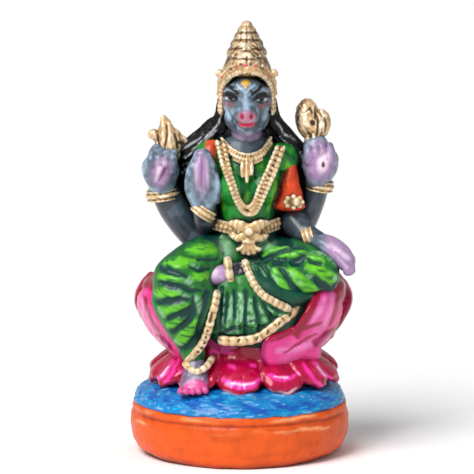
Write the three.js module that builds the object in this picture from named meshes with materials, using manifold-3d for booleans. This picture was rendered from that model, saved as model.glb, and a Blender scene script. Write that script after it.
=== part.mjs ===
// A painted clay festival doll: a boar-faced goddess with four arms, seated on a lotus that rises from
// water on a low plinth. The whole doll is one moulded casting with a flat back.
// Millimetres, +Z up. The doll faces -Y. The origin is on the underside, below the plinth's widest line.
import * as THREE from "three";
import { LoftGeometry } from "three/addons/geometries/LoftGeometry.js";
import { mergeVertices } from "three/addons/utils/BufferGeometryUtils.js";
import Module from "manifold-3d";

const wasm = await Module();
wasm.setup();

// Driving sizes.
const HEIGHT = 203; // underside to the tip of the crown
const PLINTH_WIDTH = 103.4;
const PLINTH_FRONT = 50; // widest line to the front of the plinth
const BACK = 23; // widest line to the flat back
const PLINTH_TOP = 24; // where the orange plinth meets the blue water
const WATER_TOP = 35; // where the water meets the lotus
const SEAT_TOP = 84.5; // the rim of the lotus, on which the figure sits
const MID = 3.4; // the figure sits a little to the right of the plinth's middle
const HEAD_Z = 167; // middle of the head

// Directions that a piece's flat side can look to.
const FRONT = new THREE.Vector3(0, -1, 0);
const UP = new THREE.Vector3(0, 0, 1);

const v = (x, y, z) => new THREE.Vector3(x, y, z);
const rad = THREE.MathUtils.degToRad;
const signedPower = (x, p) => Math.sign(x) * Math.abs(x) ** p;

// A closed geometry as a solid that can be joined and cut.
function solid(geometry) {
  const bare = new THREE.BufferGeometry()
    .setAttribute("position", geometry.getAttribute("position"))
    .setIndex(geometry.getIndex());
  const merged = mergeVertices(bare, 1e-4);
  return new wasm.Manifold(
    new wasm.Mesh({
      numProp: 3,
      vertProperties: merged.attributes.position.array,
      triVerts: new Uint32Array(merged.index.array),
    }),
  );
}

// A ball or an egg: half sizes along X, Y and Z, turned about Y by `lean` degrees and X by `tip`.
function blob(at, half, { lean = 0, tip = 0, sides = 7, rings = 5 } = {}) {
  const ball = new THREE.SphereGeometry(1, sides, rings);
  ball.rotateX(Math.PI / 2).scale(...half).rotateY(rad(lean)).rotateX(rad(tip));
  return solid(ball.translate(...at));
}

// A limb: oval sections along a smooth curve through the stations, with round ends.
// A station is [x, y, z, half width, half depth]; `face` is the way that the depth looks.
// `folds(t, angle)` adds to the radius: t runs 0 to 1, and the angle is 90 degrees at `face`.
const CAP = 0.62; // share of the full radius at the ring of a round end
function limb(stations, { face = FRONT, sides = 7, rings = 4, folds = () => 0, round = 1 } = {}) {
  const line = new THREE.CatmullRomCurve3(stations.map(([x, y, z]) => v(x, y, z)));
  const size = new THREE.CatmullRomCurve3(stations.map(([, , , w, d]) => v(w, d, 0)));
  const rows = [
    [0, CAP, -1],
    ...Array.from({ length: rings + 1 }, (_, i) => [i / rings, 1, 0]),
    [1, CAP, 1],
  ];
  const sections = rows.map(([t, k, end]) => {
    const along = line.getTangent(t);
    const depth = face.clone().addScaledVector(along, -face.dot(along)).normalize();
    const width = depth.clone().cross(along);
    const half = size.getPoint(t);
    const past = end * round * Math.sqrt(1 - k * k) * Math.min(half.x, half.y);
    const middle = line.getPoint(t).addScaledVector(along, past);
    return Array.from({ length: sides }, (_, i) => {
      const angle = (i / sides) * 2 * Math.PI;
      const fold = folds(t, angle) * k;
      return middle
        .clone()
        .addScaledVector(width, (half.x * k + fold) * Math.cos(angle))
        .addScaledVector(depth, (half.y * k + fold) * Math.sin(angle));
    });
  });
  return solid(new LoftGeometry(sections, { capStart: true, capEnd: true }));
}

// A point of a level outline: an ellipse in front, squarer behind, as the mould's flat back leaves it.
// The angle is 0 at the doll's left (+X) and 90 degrees straight behind.
function onOutline([w, front, back], angle, squareness) {
  const behind = Math.sin(angle) > 0;
  const p = behind ? 2 / squareness : 1;
  const depth = behind ? back : front;
  return [w * signedPower(Math.cos(angle), p), depth * signedPower(Math.sin(angle), p)];
}

// Level outlines stacked up: each level is [z, half width, front depth, back depth] about (cx, cy).
function stack(levels, cx, cy, sides, squareness = 4.5) {
  const sections = levels.map(([z, ...level]) =>
    Array.from({ length: sides }, (_, i) => {
      const [x, y] = onOutline(level, (i / sides) * 2 * Math.PI, squareness);
      return v(cx + x, cy + y, z);
    }),
  );
  return solid(new LoftGeometry(sections, { capStart: true, capEnd: true }));
}

// Plinth with a rounded foot, a groove below its top band, and the mound of water on it.
function plinthAndWater() {
  const half = PLINTH_WIDTH / 2;
  const profile = [
    [0, 0.935],
    [1.4, 0.975],
    [17.4, 1],
    [19.2, 0.968],
    [20.8, 0.984],
    [PLINTH_TOP, 0.968],
    [28.5, 0.935],
    [32.2, 0.84],
    [WATER_TOP, 0.5],
  ];
  const levels = profile.map(([z, k]) => [z, half * k, PLINTH_FRONT * k, BACK + 1.5 * k]);
  return stack(levels, 0, 0, 24);
}

// The lotus: a bowl with a narrow waist, two rows of upright petals and one row that droops on the water.
const LOTUS = { x: 2, y: -2, squareness: 8 };
const BOWL = [
  [31, 36, 25, 23],
  [38, 33.5, 23, 23],
  [46, 31, 20, 23],
  [53, 35.5, 20, 24],
  [63, 43.6, 22, 24],
  [74, 48, 24, 24],
  [81, 47, 23, 23],
  [SEAT_TOP, 40, 19, 20],
];

// A point on the bowl at height z, `out` beyond it, at a bearing of phi degrees from the front.
function onBowl(phi, z, out) {
  const i = Math.max(1, BOWL.findIndex(([level]) => level >= z));
  const [a, b] = [BOWL[i - 1], BOWL[i]];
  const t = (z - a[0]) / (b[0] - a[0]);
  const level = [1, 2, 3].map((j) => a[j] + (b[j] - a[j]) * t + out);
  const [x, y] = onOutline(level, rad(phi - 90), LOTUS.squareness);
  return v(LOTUS.x + x, LOTUS.y + y, z);
}

// A petal at a bearing: each row is [z, distance out of the bowl, half width, half thickness].
function petal(phi, rows, lift = 0) {
  const face = v(Math.sin(rad(phi)), -Math.cos(rad(phi)), lift).normalize();
  const stations = rows.map(([z, out, w, d]) => [...onBowl(phi, z, out), w, d]);
  return limb(stations, { face, sides: 6, rings: 3 });
}

const INNER_BEARINGS = [-100, -68, 56, 97];
const OUTER_BEARINGS = [-86, 80, 112];
const BROAD_BEARING = 38;
const DROOPING_BEARINGS = [-114, -88, -62, -34, -3, 28, 56, 84, 112];
function lotus() {
  const inner = [
    [44, -1, 5, 2.6],
    [52, 0, 11, 3.2],
    [62, 0.6, 14.6, 3.4],
    [73, 0.8, 12.5, 3.2],
    [82, -0.4, 3, 1.8],
  ];
  const outer = [
    [46, -1.5, 6, 2.6],
    [50, -0.4, 10, 3],
    [56, 0.8, 12, 3],
    [63, 0.6, 3.4, 1.8],
  ];
  const broad = [
    [43, -0.6, 11, 2.8],
    [48, 2, 17, 3.4],
    [54, 2.8, 17, 3.4],
    [61, 2, 8, 2.2],
  ];
  const drooping = [
    [50, -1.6, 8, 2.6],
    [46, 0.6, 10.5, 3.2],
    [41.5, 4.2, 11.6, 4],
    [37.6, 7.2, 11.2, 4],
    [34.8, 8.8, 8.4, 3],
    [33, 9, 4, 2],
  ];
  return [
    stack(BOWL, LOTUS.x, LOTUS.y, 20, LOTUS.squareness),
    ...INNER_BEARINGS.map((phi) => petal(phi, inner)),
    ...OUTER_BEARINGS.map((phi) => petal(phi, outer)),
    petal(BROAD_BEARING, broad),
    ...DROOPING_BEARINGS.map((phi) => petal(phi, drooping, 0.9)),
  ];
}

// Cloth folds that ring a limb: `count` of them, `deep` millimetres from crest to hollow.
const folded = (count, deep, slant = 0) => (t, angle) =>
  deep * (0.5 * Math.cos(2 * Math.PI * count * (t + slant * Math.cos(angle))) - 0.5);

function legs() {
  const rightThigh = limb(
    [
      [-5, 2, 92, 14, 13],
      [-18, -12, 91.5, 13.2, 12.4],
      [-28, -23, 86, 12.6, 12.6],
    ],
    { face: UP, sides: 9, rings: 6, folds: folded(3, 1.4) },
  );
  const rightShin = limb(
    [
      [-27.5, -24.5, 85, 13.6, 13],
      [-26, -24.5, 76, 15.6, 12.5],
      [-24.6, -22.5, 64, 11.4, 11],
      [-23, -22, 55, 7, 7.6],
      [-20.6, -23, 46, 5.4, 5.4],
    ],
    { sides: 9, rings: 10, folds: folded(5, 1.4, 0.02) },
  );
  const leftThigh = limb(
    [
      [12, 2, 92, 13, 12],
      [26, -7, 92, 11.5, 10.5],
      [38.5, -12, 88.5, 9.6, 9.6],
    ],
    { face: UP, sides: 9, rings: 6, folds: folded(3, 1.3) },
  );
  const leftShin = limb(
    [
      [39, -13, 86, 9.2, 9.2],
      [28, -17, 84.5, 9.2, 9.2],
      [15, -16.5, 86.5, 7.6, 8],
      [6, -15, 88.5, 5, 5.4],
    ],
    { face: UP, sides: 8, rings: 6, folds: folded(3, 1.3) },
  );
  return [rightThigh, rightShin, leftThigh, leftShin];
}

// One foot rests on the lotus with its toes to the front, the other lies sole up across the lap.
const TOES = 5;
function feet() {
  const rightFoot = limb(
    [
      [-20.6, -23.5, 46, 5.4, 5.4],
      [-20.8, -28, 41.5, 6.6, 4.8],
      [-21.3, -33, 37.5, 8, 3.6],
      [-21.6, -35, 36, 7.6, 2.8],
    ],
    { face: UP, rings: 4 },
  );
  const leftFoot = limb(
    [
      [6, -15, 88.5, 4.6, 4.6],
      [-3, -18, 88.4, 4.8, 4.6],
      [-9, -20.5, 87, 4.8, 4.2],
      [-12.6, -22, 86, 4, 3.6],
    ],
    { face: UP, rings: 3 },
  );
  const toes = Array.from({ length: TOES }, (_, i) => {
    const across = i - (TOES - 1) / 2;
    const tip = [-21.6 + 3.2 * across, -37 + 0.35 * across ** 2, 35];
    return blob(tip, [1.7, 2.6, 1.8], { sides: 5, rings: 3 });
  });
  return [rightFoot, leftFoot, ...toes];
}

// The skirt's pleated fan between the legs, the cloth that bellies below it, and the gold hems.
function drapery() {
  const face = v(0.1, -1, 0);
  const pleated = (t, angle) => 0.7 * t * Math.cos(6 * (angle - Math.PI / 2));
  const front = [
    [-3, -19.5, 88, 7, 3.8],
    [-3.5, -23, 80, 8.5, 5.2],
    [-3.5, -25, 70, 10, 5.6],
    [-4, -25.5, 61, 10.5, 4.8],
  ];
  const middle = [
    [1, -20.5, 86, 4, 3.6],
    [6, -23.5, 76, 6.5, 4.8],
    [9, -25, 65, 7.5, 4.8],
  ];
  const side = [
    [4, -21.5, 84, 3, 3.4],
    [13, -24, 75, 5, 4.4],
    [22, -23, 70.5, 4.2, 4.2],
  ];
  const belly = [
    [-8, -19.5, 61.5, 7.5, 7.5],
    [8, -19.6, 60, 8.5, 8.5],
    [18, -18, 65, 8.5, 8.5],
    [26, -14, 72, 7, 7],
  ];
  const underThigh = [
    [10, -14, 84, 7, 7],
    [20, -14.5, 78, 7, 7],
    [30, -12.5, 76, 6, 6],
  ];
  const fanHem = [
    [-8.9, -30, 57.9],
    [-2.8, -30.4, 57.4],
    [3.9, -30.4, 57.9],
    [14.3, -29.2, 62.7],
    [24.7, -25.6, 70.3],
    [28, -22, 75.4],
  ];
  const thighHem = [
    [2.4, -18.5, 93.4],
    [7.2, -25.6, 83.4],
    [11.4, -27.2, 78.9],
    [22.8, -26.6, 72.7],
  ];
  const shinHem = [
    [-10.7, -29.2, 80.4],
    [-11.7, -31.2, 75],
    [-15.3, -31.4, 61.5],
    [-18.4, -30, 55.1],
    [-24.1, -26.8, 47.9],
  ];
  const footAnklet = [
    [-25.6, -26, 46.6],
    [-20.8, -31.2, 43.6],
    [-14.6, -28, 47],
  ];
  const lapAnklet = [
    [-5.8, -20.5, 94.6],
    [-5, -23.4, 88.6],
    [-3.6, -21.4, 82.6],
  ];
  const HEM_THICK = 1.5;
  const hem = (points, wide) =>
    limb(points.map((p) => [...p, wide, HEM_THICK]), { sides: 4, rings: 7 });
  return [
    limb(front, { face, sides: 14, rings: 3, folds: pleated, round: 0.4 }),
    limb(middle, { face, sides: 10, rings: 3, folds: pleated, round: 0.4 }),
    limb(side, { face, sides: 8, rings: 3, round: 0.4 }),
    limb(belly),
    limb(underThigh, { rings: 3 }),
    hem(fanHem, 2.4),
    hem(thighHem, 2),
    hem(shinHem, 2.1),
    hem(footAnklet, 1.8),
    hem(lapAnklet, 2.2),
  ];
}

function torso() {
  const trunk = limb(
    [
      [MID, 4, 84, 19, 14],
      [MID, 3, 96, 17, 13],
      [MID, 3, 107, 13.2, 11],
      [MID, 3, 119, 14, 11.5],
      [MID, 4, 132, 17, 12],
      [MID, 6, 142, 14.5, 10],
      [MID, 6, 149, 7.6, 7.8],
      [MID, 5, 157, 7.6, 7.8],
    ],
    { sides: 10, rings: 7 },
  );
  return [
    trunk,
    blob([MID - 6.6, -4.5, 126.5], [7.6, 7.2, 8]),
    blob([MID + 7.4, -4.5, 126.5], [7.6, 7.2, 8]),
    blob([MID - 16.5, 6, 140.5], [8, 8, 8]),
    blob([MID + 16.5, 6, 139], [8, 8, 8]),
  ];
}

// Four arms. The two behind are single raised columns beside the hair, each holding an emblem.
function arms() {
  const rightRaised = [
    [-15, 13, 94, 6.6, 8],
    [-24, 13, 104, 7.2, 8.4],
    [-31.4, 12.5, 114.5, 7.4, 9],
    [-36.2, 11, 125, 7, 8.6],
  ];
  const leftRaised = [
    [22, 13, 96, 7, 8],
    [29.5, 13, 107, 6.8, 8.4],
    [35, 12.5, 118, 5.8, 8.6],
    [37.6, 11, 128, 5.6, 8],
  ];
  const sleeve = [
    [24.2, 6, 135.5, 3.4, 6.4],
    [23.4, 4, 126, 5.8, 8.6],
    [23, 3, 117, 8, 8.4],
  ];
  const leftForearm = [
    [26, 5, 109, 7, 7],
    [31, 0, 103.5, 6, 6],
    [37, -6, 101, 5, 4.6],
  ];
  const rightForearm = [
    [-13, 8, 107, 6.5, 6.5],
    [-16, 0, 111, 5.6, 5.6],
    [-17, -4.5, 116, 5.2, 5],
  ];
  return [rightRaised, leftRaised, sleeve, leftForearm, rightForearm].map((stations) => limb(stations));
}

// A cuff stands proud round a wrist.
const CUFF_HALF = 2.7;
const cuff = (at, halfWide, halfDeep, options) => blob(at, [halfWide, halfDeep, CUFF_HALF], options);

function hands() {
  const raised = [
    [-16.8, -5, 118, 5.6, 4],
    [-17.5, -6, 126, 8.4, 5.2],
    [-17.5, -6.4, 135, 7.8, 5],
    [-17.5, -5.6, 142, 4.6, 3.6],
  ];
  const onKnee = [
    [36, -6, 101, 4.8, 4.2],
    [43, -9, 100, 7.4, 4.8],
    [48, -11, 96.4, 7.8, 5],
    [50.8, -12, 91.6, 7.2, 4.6],
  ];
  return [
    limb(raised),
    limb(onKnee, { face: UP }),
    blob([-37.3, 8.4, 134], [9, 9.8, 10.6]),
    blob([37.6, 8.4, 138.4], [9, 9.6, 11]),
    cuff([-36.4, 10.6, 121.4], 8.4, 10, { lean: -8 }),
    cuff([38, 10.6, 125.6], 7, 9.4, { lean: 8 }),
    cuff([-17, -4.6, 115.3], 6.8, 6.2, { lean: 35 }),
    cuff([32.6, -4, 102.4], 5.6, 5.8, { lean: 72 }),
    blob([25.4, -5.2, 120], [5, 2.6, 3.6]), // armlet on the sleeve
  ];
}

// A conch with two side lobes in the right raised hand, a discus with its flame in the left.
function emblems() {
  const conch = [
    [-33.8, 8, 140, 5.8, 5],
    [-33.6, 8, 146, 6.2, 5.2],
    [-34.6, 9, 151.6, 4.6, 4.4],
    [-35.9, 10, 158.6, 1.4, 1.6],
  ];
  const outerLobe = [
    [-37, 8.5, 147.4, 2.8, 3],
    [-41, 9, 150.2, 2.5, 2.7],
  ];
  const innerLobe = [
    [-32, 8.5, 151, 2.8, 2.6],
    [-26, 9, 147, 1.5, 1.5],
  ];
  return [
    limb(conch),
    limb(outerLobe, { rings: 2 }),
    limb(innerLobe, { rings: 2 }),
    blob([35, 8, 148.5], [4.6, 4.8, 4.8]), // fingers under the discus
    blob([32.2, 11, 158.6], [6, 7, 10], { lean: -3, sides: 9 }),
    blob([37.8, 9.5, 156], [5.4, 5.6, 7.6], { lean: 12 }),
  ];
}

// Neck ring, garland, belt with its clasp, and pendants.
function jewellery() {
  const band = (points, wide, deep, beads) =>
    limb(points.map((p) => [...p, wide, deep]), { sides: 4, rings: 2 * beads, folds: folded(beads, 0.7) });
  return [
    band([[-9.4, -3, 147], [-6.4, -10.5, 138], [-2, -12, 127], [3, -10.8, 116.4]], 2.9, 1.6, 4),
    band([[19.4, -3, 146], [15, -11, 136], [10.8, -12, 127], [6.4, -10.8, 116.4]], 2.9, 1.6, 4),
    band([[-7.5, 1, 147], [-1, -5, 143.5], [4, -6.5, 142.4], [9, -5, 143.5], [14.5, 1, 147.5]], 1.8, 1.5, 4),
    band([[-13, 0, 109], [-5, -7, 107.6], [4, -9.4, 107], [12, -7, 107.8], [18.6, 0, 109]], 3.4, 1.9, 5),
    blob([5, -8.4, 136.5], [2.6, 1.7, 4]),
    blob([4.4, -10, 106.4], [5, 2.6, 4.4]),
    blob([3.6, -11, 98.2], [4.6, 2.4, 3.8]),
  ];
}

// The boar's head: a round skull, a brow that slopes to a short snout with a flat nose, full cheeks.
function head() {
  const snout = [
    [MID, 1, HEAD_Z, 10.5, 10],
    [MID, -7, HEAD_Z - 4, 7.6, 7.6],
    [MID, -14, HEAD_Z - 7, 4.6, 4.8],
  ];
  return [
    blob([MID, 6, HEAD_Z + 1], [12.4, 13, 13], { sides: 10, rings: 7 }),
    blob([MID, 2.5, HEAD_Z - 8], [10.8, 9.5, 8.5]),
    limb(snout, { face: UP, sides: 9, round: 0.35 }),
    blob([MID, -7.5, HEAD_Z - 11.5], [5.6, 6, 4.6]),
  ];
}

// The crown: a cap over a flat back, a band from temple to temple, side knobs and a stepped spire.
const CAP_Y = 15;
const SPIRE_Y = 18;
function crown() {
  const cap = [
    [165.5, 12, 4, 8.4],
    [171, 12.6, 12, 8.6],
    [177, 12.6, 19.4, 8.6],
    [184, 11.4, 16.8, 8.2],
    [186, 9.4, 14, 7.6],
    [188, 9.8, 12.8, 7.8],
    [191.5, 7.4, 9, 7],
  ];
  const spire = [
    [189, 8.4, 14, 4.6],
    [192, 6.4, 10.4, 4.2],
    [193.6, 7, 10, 4.6],
    [195.4, 5, 7.6, 4.2],
    [197, 5.2, 6.6, 4.6],
    [198.8, 3.8, 4.4, 4],
    [200.4, 3.6, 3.6, 4],
    [202, 2.2, 2.2, 2.8],
    [HEIGHT, 0.9, 0.9, 1.2],
  ];
  const temples = [[-9, 6, 168], [-6, -1.5, 174.5], [MID, -4.6, 178], [12.8, -1.5, 174.5], [15.8, 6, 168]];
  return [
    stack(cap, MID, CAP_Y, 16),
    stack(spire, MID, SPIRE_Y, 10),
    limb(temples.map((p) => [...p, 2.4, 1.8]), { sides: 5, rings: 6 }),
    blob([MID - 13, 9, 178.6], [2.8, 4, 3]),
    blob([MID + 13, 9, 178.6], [2.8, 4, 3]),
  ];
}

// Loose hair: a broad shallow mass down the back, and locks that fall on the shoulders.
const LOCKS = 4;
function hair() {
  const strands = (t, angle) => 0.8 * Math.cos(2 * LOCKS * angle) * Math.sin(Math.PI * t);
  const mass = [
    [MID, 13, 168, 12.2, 10],
    [3, 14.5, 158, 14, 8.6],
    [1.5, 14.5, 150, 20.5, 8.6],
    [0.5, 15, 139, 31.5, 8.8],
    [0.5, 15, 126, 32.2, 9],
    [0.5, 15, 113, 28.5, 9],
    [0, 15, 99, 25.2, 9],
    [0, 15, 85, 23.6, 9],
    [1, 15.5, 72, 18, 8],
  ];
  return [
    limb(mass, { sides: 4 * LOCKS, rings: 7, folds: strands }),
    limb([[-8, 9, 166, 4, 5], [-9.6, 8.5, 157, 4.4, 5], [-14.5, 9, 149, 5, 5], [-23.5, 10.5, 141, 5, 4.6]]),
    limb([[15, 9, 166, 4, 5], [16.6, 8.5, 157, 4.4, 5], [21.5, 9, 149, 5, 5], [29, 11, 140, 5, 4.6]]),
    blob([MID, 10, 150], [14, 7, 7]),
  ];
}

// Everything is one clay body, trimmed flat behind and below by a box.
const ROOM = 200;
const trim = new THREE.BoxGeometry(ROOM, ROOM, HEIGHT + ROOM);
trim.translate(0, BACK - ROOM / 2, (HEIGHT + ROOM) / 2);
const pieces = [
  plinthAndWater(),
  ...lotus(),
  ...legs(),
  ...feet(),
  ...drapery(),
  ...torso(),
  ...arms(),
  ...hands(),
  ...emblems(),
  ...jewellery(),
  ...head(),
  ...crown(),
  ...hair(),
];
const shells = wasm.Manifold.union(pieces).intersect(solid(trim)).decompose();
// The outer shell alone: small pockets that the pieces close in are clay in a solid casting.
const casting = shells.reduce((a, b) => (a.volume() > b.volume() ? a : b)).getMesh();

const geometry = new THREE.BufferGeometry()
  .setAttribute("position", new THREE.BufferAttribute(casting.vertProperties, 3))
  .setIndex(new THREE.BufferAttribute(casting.triVerts, 1));
const paint = new THREE.MeshStandardMaterial({ color: 0x6b7684, roughness: 0.4, metalness: 0 });
const doll = new THREE.Mesh(geometry, paint);
doll.name = "painted_clay_doll";

const part = new THREE.Group();
part.add(doll);

export default part;
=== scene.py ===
import math

import bmesh
import bpy
import numpy as np
from bpy.props import FloatProperty, FloatVectorProperty, PointerProperty
from bpy.types import Operator, Panel, PropertyGroup
from mathutils import Matrix, Vector
from mathutils.bvhtree import BVHTree


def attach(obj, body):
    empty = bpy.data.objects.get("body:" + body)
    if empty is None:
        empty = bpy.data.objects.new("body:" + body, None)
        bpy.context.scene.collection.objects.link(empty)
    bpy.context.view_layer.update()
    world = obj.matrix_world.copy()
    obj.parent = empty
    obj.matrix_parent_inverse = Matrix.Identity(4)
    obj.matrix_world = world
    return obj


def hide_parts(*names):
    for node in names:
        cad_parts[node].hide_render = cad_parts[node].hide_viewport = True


bl_info = {
    "name": "Painted clay festival doll",
    "version": (1, 0, 0),
    "blender": (4, 5, 0),
    "location": "3D View > Sidebar > Clay doll",
    "description": "Models and paints a boar-faced goddess on a lotus, cast in clay with its plinth",
    "category": "Object",
}

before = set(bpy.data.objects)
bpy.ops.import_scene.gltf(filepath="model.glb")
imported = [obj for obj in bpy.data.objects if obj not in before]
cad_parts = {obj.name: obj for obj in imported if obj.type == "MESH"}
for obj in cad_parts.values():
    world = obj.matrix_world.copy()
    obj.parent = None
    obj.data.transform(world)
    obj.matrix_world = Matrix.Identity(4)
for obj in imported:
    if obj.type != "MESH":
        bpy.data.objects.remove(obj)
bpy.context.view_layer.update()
NODE = "painted_clay_doll"
BODY = "root"

# Shapes are worked out in millimetres, as in the part's own source, and made metres at the end.
MM = 0.001
BACK_Y = 23.0  # the flat back
MID = 3.4  # the figure's middle, to the right of the plinth's
HEAD_Z = 167.0
HEIGHT = 203.0
FRONT = np.array([0.0, -1.0, 0.0])
UP = np.array([0.0, 0.0, 1.0])
TURN = 2 * math.pi

# The front view of the doll, for strokes whose places are read from it in steps, from its top left
VIEW_STEP = 0.9465  # millimetres in one step
VIEW_LEFT = 113.515  # from the view's left edge to the plinth's middle
VIEW_TOP = 215.2  # from the floor to the view's top edge
VIEW_DEPTH = 13.0  # in front of the plinth's middle, where the view's scale holds
VIEW_SINE, VIEW_COSINE = 0.156, 0.988  # of the view's tilt

# How a skin's hollows and crests are read for its painted shade and painted highlight: none at the first
# depth in millimetres, full at the second
SHADED_HOLLOW_DEPTHS = 0.05, 0.34
HIGHLIGHT_CREST_HEIGHTS = 0.04, 0.3


# Colours and sizes that a user may change


def tint(red, green, blue):
    """A paint colour from screen values of 0 to 255, as linear light."""
    parts = (c / 255 for c in (red, green, blue))
    return tuple(c / 12.92 if c <= 0.04045 else ((c + 0.055) / 1.055) ** 2.4 for c in parts)


def pigment(name, text, colour):
    """A colour that a user may change."""
    return FloatVectorProperty(
        name=name, description=text, default=colour, subtype="COLOR", size=3, min=0.0, max=1.0
    )


def length(name, text, millimetres):
    """A length that a user may change."""
    return FloatProperty(
        name=name, description=text, default=millimetres * MM, min=0.0, unit="LENGTH", subtype="DISTANCE"
    )


class DollSizes(PropertyGroup):
    """Sizes of the doll's fine relief."""

    voxel: length("Grain of the clay", "Voxel size of the large forms", 0.62)
    fine_voxel: length("Grain of the fine work", "Voxel size of the hands, jewellery and crown", 0.42)
    cloth_fold: length("Cloth folds", "Depth of the folds over the legs", 1.1)
    pleat: length("Fan pleats", "Depth of the pleats between the legs", 0.9)
    strand: length("Hair strands", "Depth of the grooves in the hair", 0.34)
    petal_border: length("Petal border", "Width of the maroon border of a petal", 3.6)
    wave: length("Waves", "Height of the ripples on the water", 0.4)


class DollPaint(PropertyGroup):
    """Colours of the paints on the doll."""

    skin: pigment("Skin", "Blue-grey skin", tint(84, 99, 110))
    skin_dark: pigment("Skin shade", "Dark shading on the skin", tint(20, 26, 38))
    # Also the painted highlights on the face.
    skin_light: pigment("Skin light", "Pale blue strokes on the skin", tint(160, 186, 212))
    palm: pigment("Palm", "Mauve palms and feet", tint(170, 134, 178))
    # Also the painted glints on the drooping petals.
    palm_light: pigment("Palm light", "Pale pink of the palms", tint(240, 214, 232))
    palm_mark: pigment("Palm mark", "Plum line on the palms", tint(112, 52, 96))
    blush: pigment("Blush", "Pink of the snout", tint(186, 126, 150))
    lips: pigment("Lips", "Red lips", tint(204, 36, 74))
    eye_white: pigment("Eye", "White of the eyes", tint(236, 236, 234))
    black: pigment("Black", "Black outlines and pupils", tint(8, 8, 10))
    mark: pigment("Forehead mark", "Yellow mark on the forehead", tint(206, 160, 50))
    cloth: pigment("Cloth", "Bright green of the skirt", tint(30, 112, 36))
    bodice: pigment("Bodice", "Clear green of the bodice", tint(18, 132, 36))
    # Partly the cloth's own yellow green and partly painted highlight on the lobes.
    cloth_light: pigment("Cloth light", "Yellow green on the folds", tint(98, 186, 36))
    cloth_pale: pigment("Cloth pale", "Pale sea-green highlights", tint(150, 198, 160))
    # Also the painted shade in the folds.
    cloth_dark: pigment("Cloth dark", "Blue-green strokes in the folds", tint(2, 56, 52))
    sleeve: pigment("Sleeve", "Orange-red sleeve", tint(220, 72, 32))
    gold: pigment("Gold", "Pale gold paint", tint(212, 174, 122))
    # The painted highlight on the gold's crests.
    gold_light: pigment("Gold light", "Cream on the gold's edges", tint(255, 244, 220))
    gold_shade: pigment("Gold shade", "Brown in the gold's hollows", tint(62, 38, 20))
    petal: pigment("Petal", "Pink petals", tint(228, 48, 140))
    # Also the pearly painted highlights on the petals.
    petal_light: pigment("Petal light", "Lilac middle of the petals", tint(248, 140, 206))
    # Also the painted shade on the petals.
    maroon: pigment("Petal border", "Maroon borders", tint(152, 2, 44))
    petal_purple: pigment("Petal purple", "Purple magenta low on the bowl", tint(160, 0, 104))
    # Partly the petals' own hot pink and partly painted highlight.
    petal_hot: pigment("Petal bands", "Hot pink bands on the drooping petals", tint(255, 58, 172))
    magenta: pigment("Low petals", "Magenta of the drooping petals", tint(180, 0, 62))
    water: pigment("Water", "Blue water", tint(6, 122, 188))
    water_deep: pigment("Deep water", "Darker blue between the waves", tint(14, 70, 166))
    turquoise: pigment("Turquoise", "Turquoise strokes on the water", tint(30, 172, 206))
    foam: pigment("Foam", "Pale wave strokes", tint(166, 208, 236))
    plinth: pigment("Plinth", "Orange plinth", tint(222, 86, 18))
    # The painted highlights on the plinth's rims.
    plinth_light: pigment("Plinth light", "Peach on the plinth's rims", tint(255, 176, 120))
    plinth_shade: pigment("Plinth shade", "Brown in the plinth's groove", tint(140, 40, 14))
    hair: pigment("Hair", "Black hair", tint(12, 12, 14))
    hair_light: pigment("Hair light", "Grey strands", tint(186, 188, 196))
    back: pigment("Back", "Maroon back", tint(126, 22, 30))
    back_blue: pigment("Back blue", "Sky blue of the crown's back and the arms' backs", tint(120, 188, 216))


# Curves and numbers


def smooth(low, high, x):
    """0 below low, 1 above high, and an easy curve between them."""
    t = np.clip((x - low) / (high - low), 0, 1)
    return t * t * (3 - 2 * t)


def bump(x, middle, half):
    """1 at the middle and 0 at half away, easy at both ends."""
    return 1 - smooth(0, half, np.abs(x - middle))


def unit(vectors):
    """The vectors at a length of 1."""
    return vectors / np.maximum(np.linalg.norm(vectors, axis=-1, keepdims=True), 1e-9)


def spline(points, shares):
    """Rows on a smooth curve through all the given rows, for shares of 0 to 1."""
    points = np.asarray(points, float)
    spans = len(points) - 1
    padded = np.vstack([2 * points[0] - points[1], points, 2 * points[-1] - points[-2]])
    place = np.clip(np.asarray(shares, float), 0, 1) * spans
    first = np.minimum(place.astype(int), spans - 1)
    t = (place - first)[:, None]
    a, b, c, d = (padded[first + k] for k in range(4))
    return b + 0.5 * t * (c - a + t * (2 * a - 5 * b + 4 * c - d + t * (3 * b - a - 3 * c + d)))


WAVES = 6
LONGEST_WAVE, WAVE_STEP = 1.7, 0.22  # lengths of a ripple's waves, as shares of its size
WAVES_PEAK = 2.6  # what the summed waves seldom pass


def ripple(places, size, seed, stretch=(1, 1, 1)):
    """A smooth, repeatable unevenness of about -1 to 1, with bumps of the given size.
    A stretch over 1 makes the bumps shorter along that axis."""
    draw = np.random.default_rng(seed)
    places = places * np.array(stretch)
    total = np.zeros(len(places))
    for wave in range(WAVES):
        way = unit(draw.normal(size=3)) * TURN / (size * (LONGEST_WAVE - WAVE_STEP * wave))
        total += np.sin(places @ way + draw.uniform(0, TURN))
    return total / WAVES_PEAK


# Clay: overlapping closed forms, melted into one skin

CAP = 0.12  # share of a limb's rings that round off each end
LEAST_HALF = 0.3  # the thinnest half section of a limb
NUDGE = 1e-3  # a small share of a limb's length, to find its direction
BEARINGS = 2400  # points round an outline, to measure its length
CRUMB = 0.5  # cubic millimetres: a closed part with less is taken out


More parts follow.
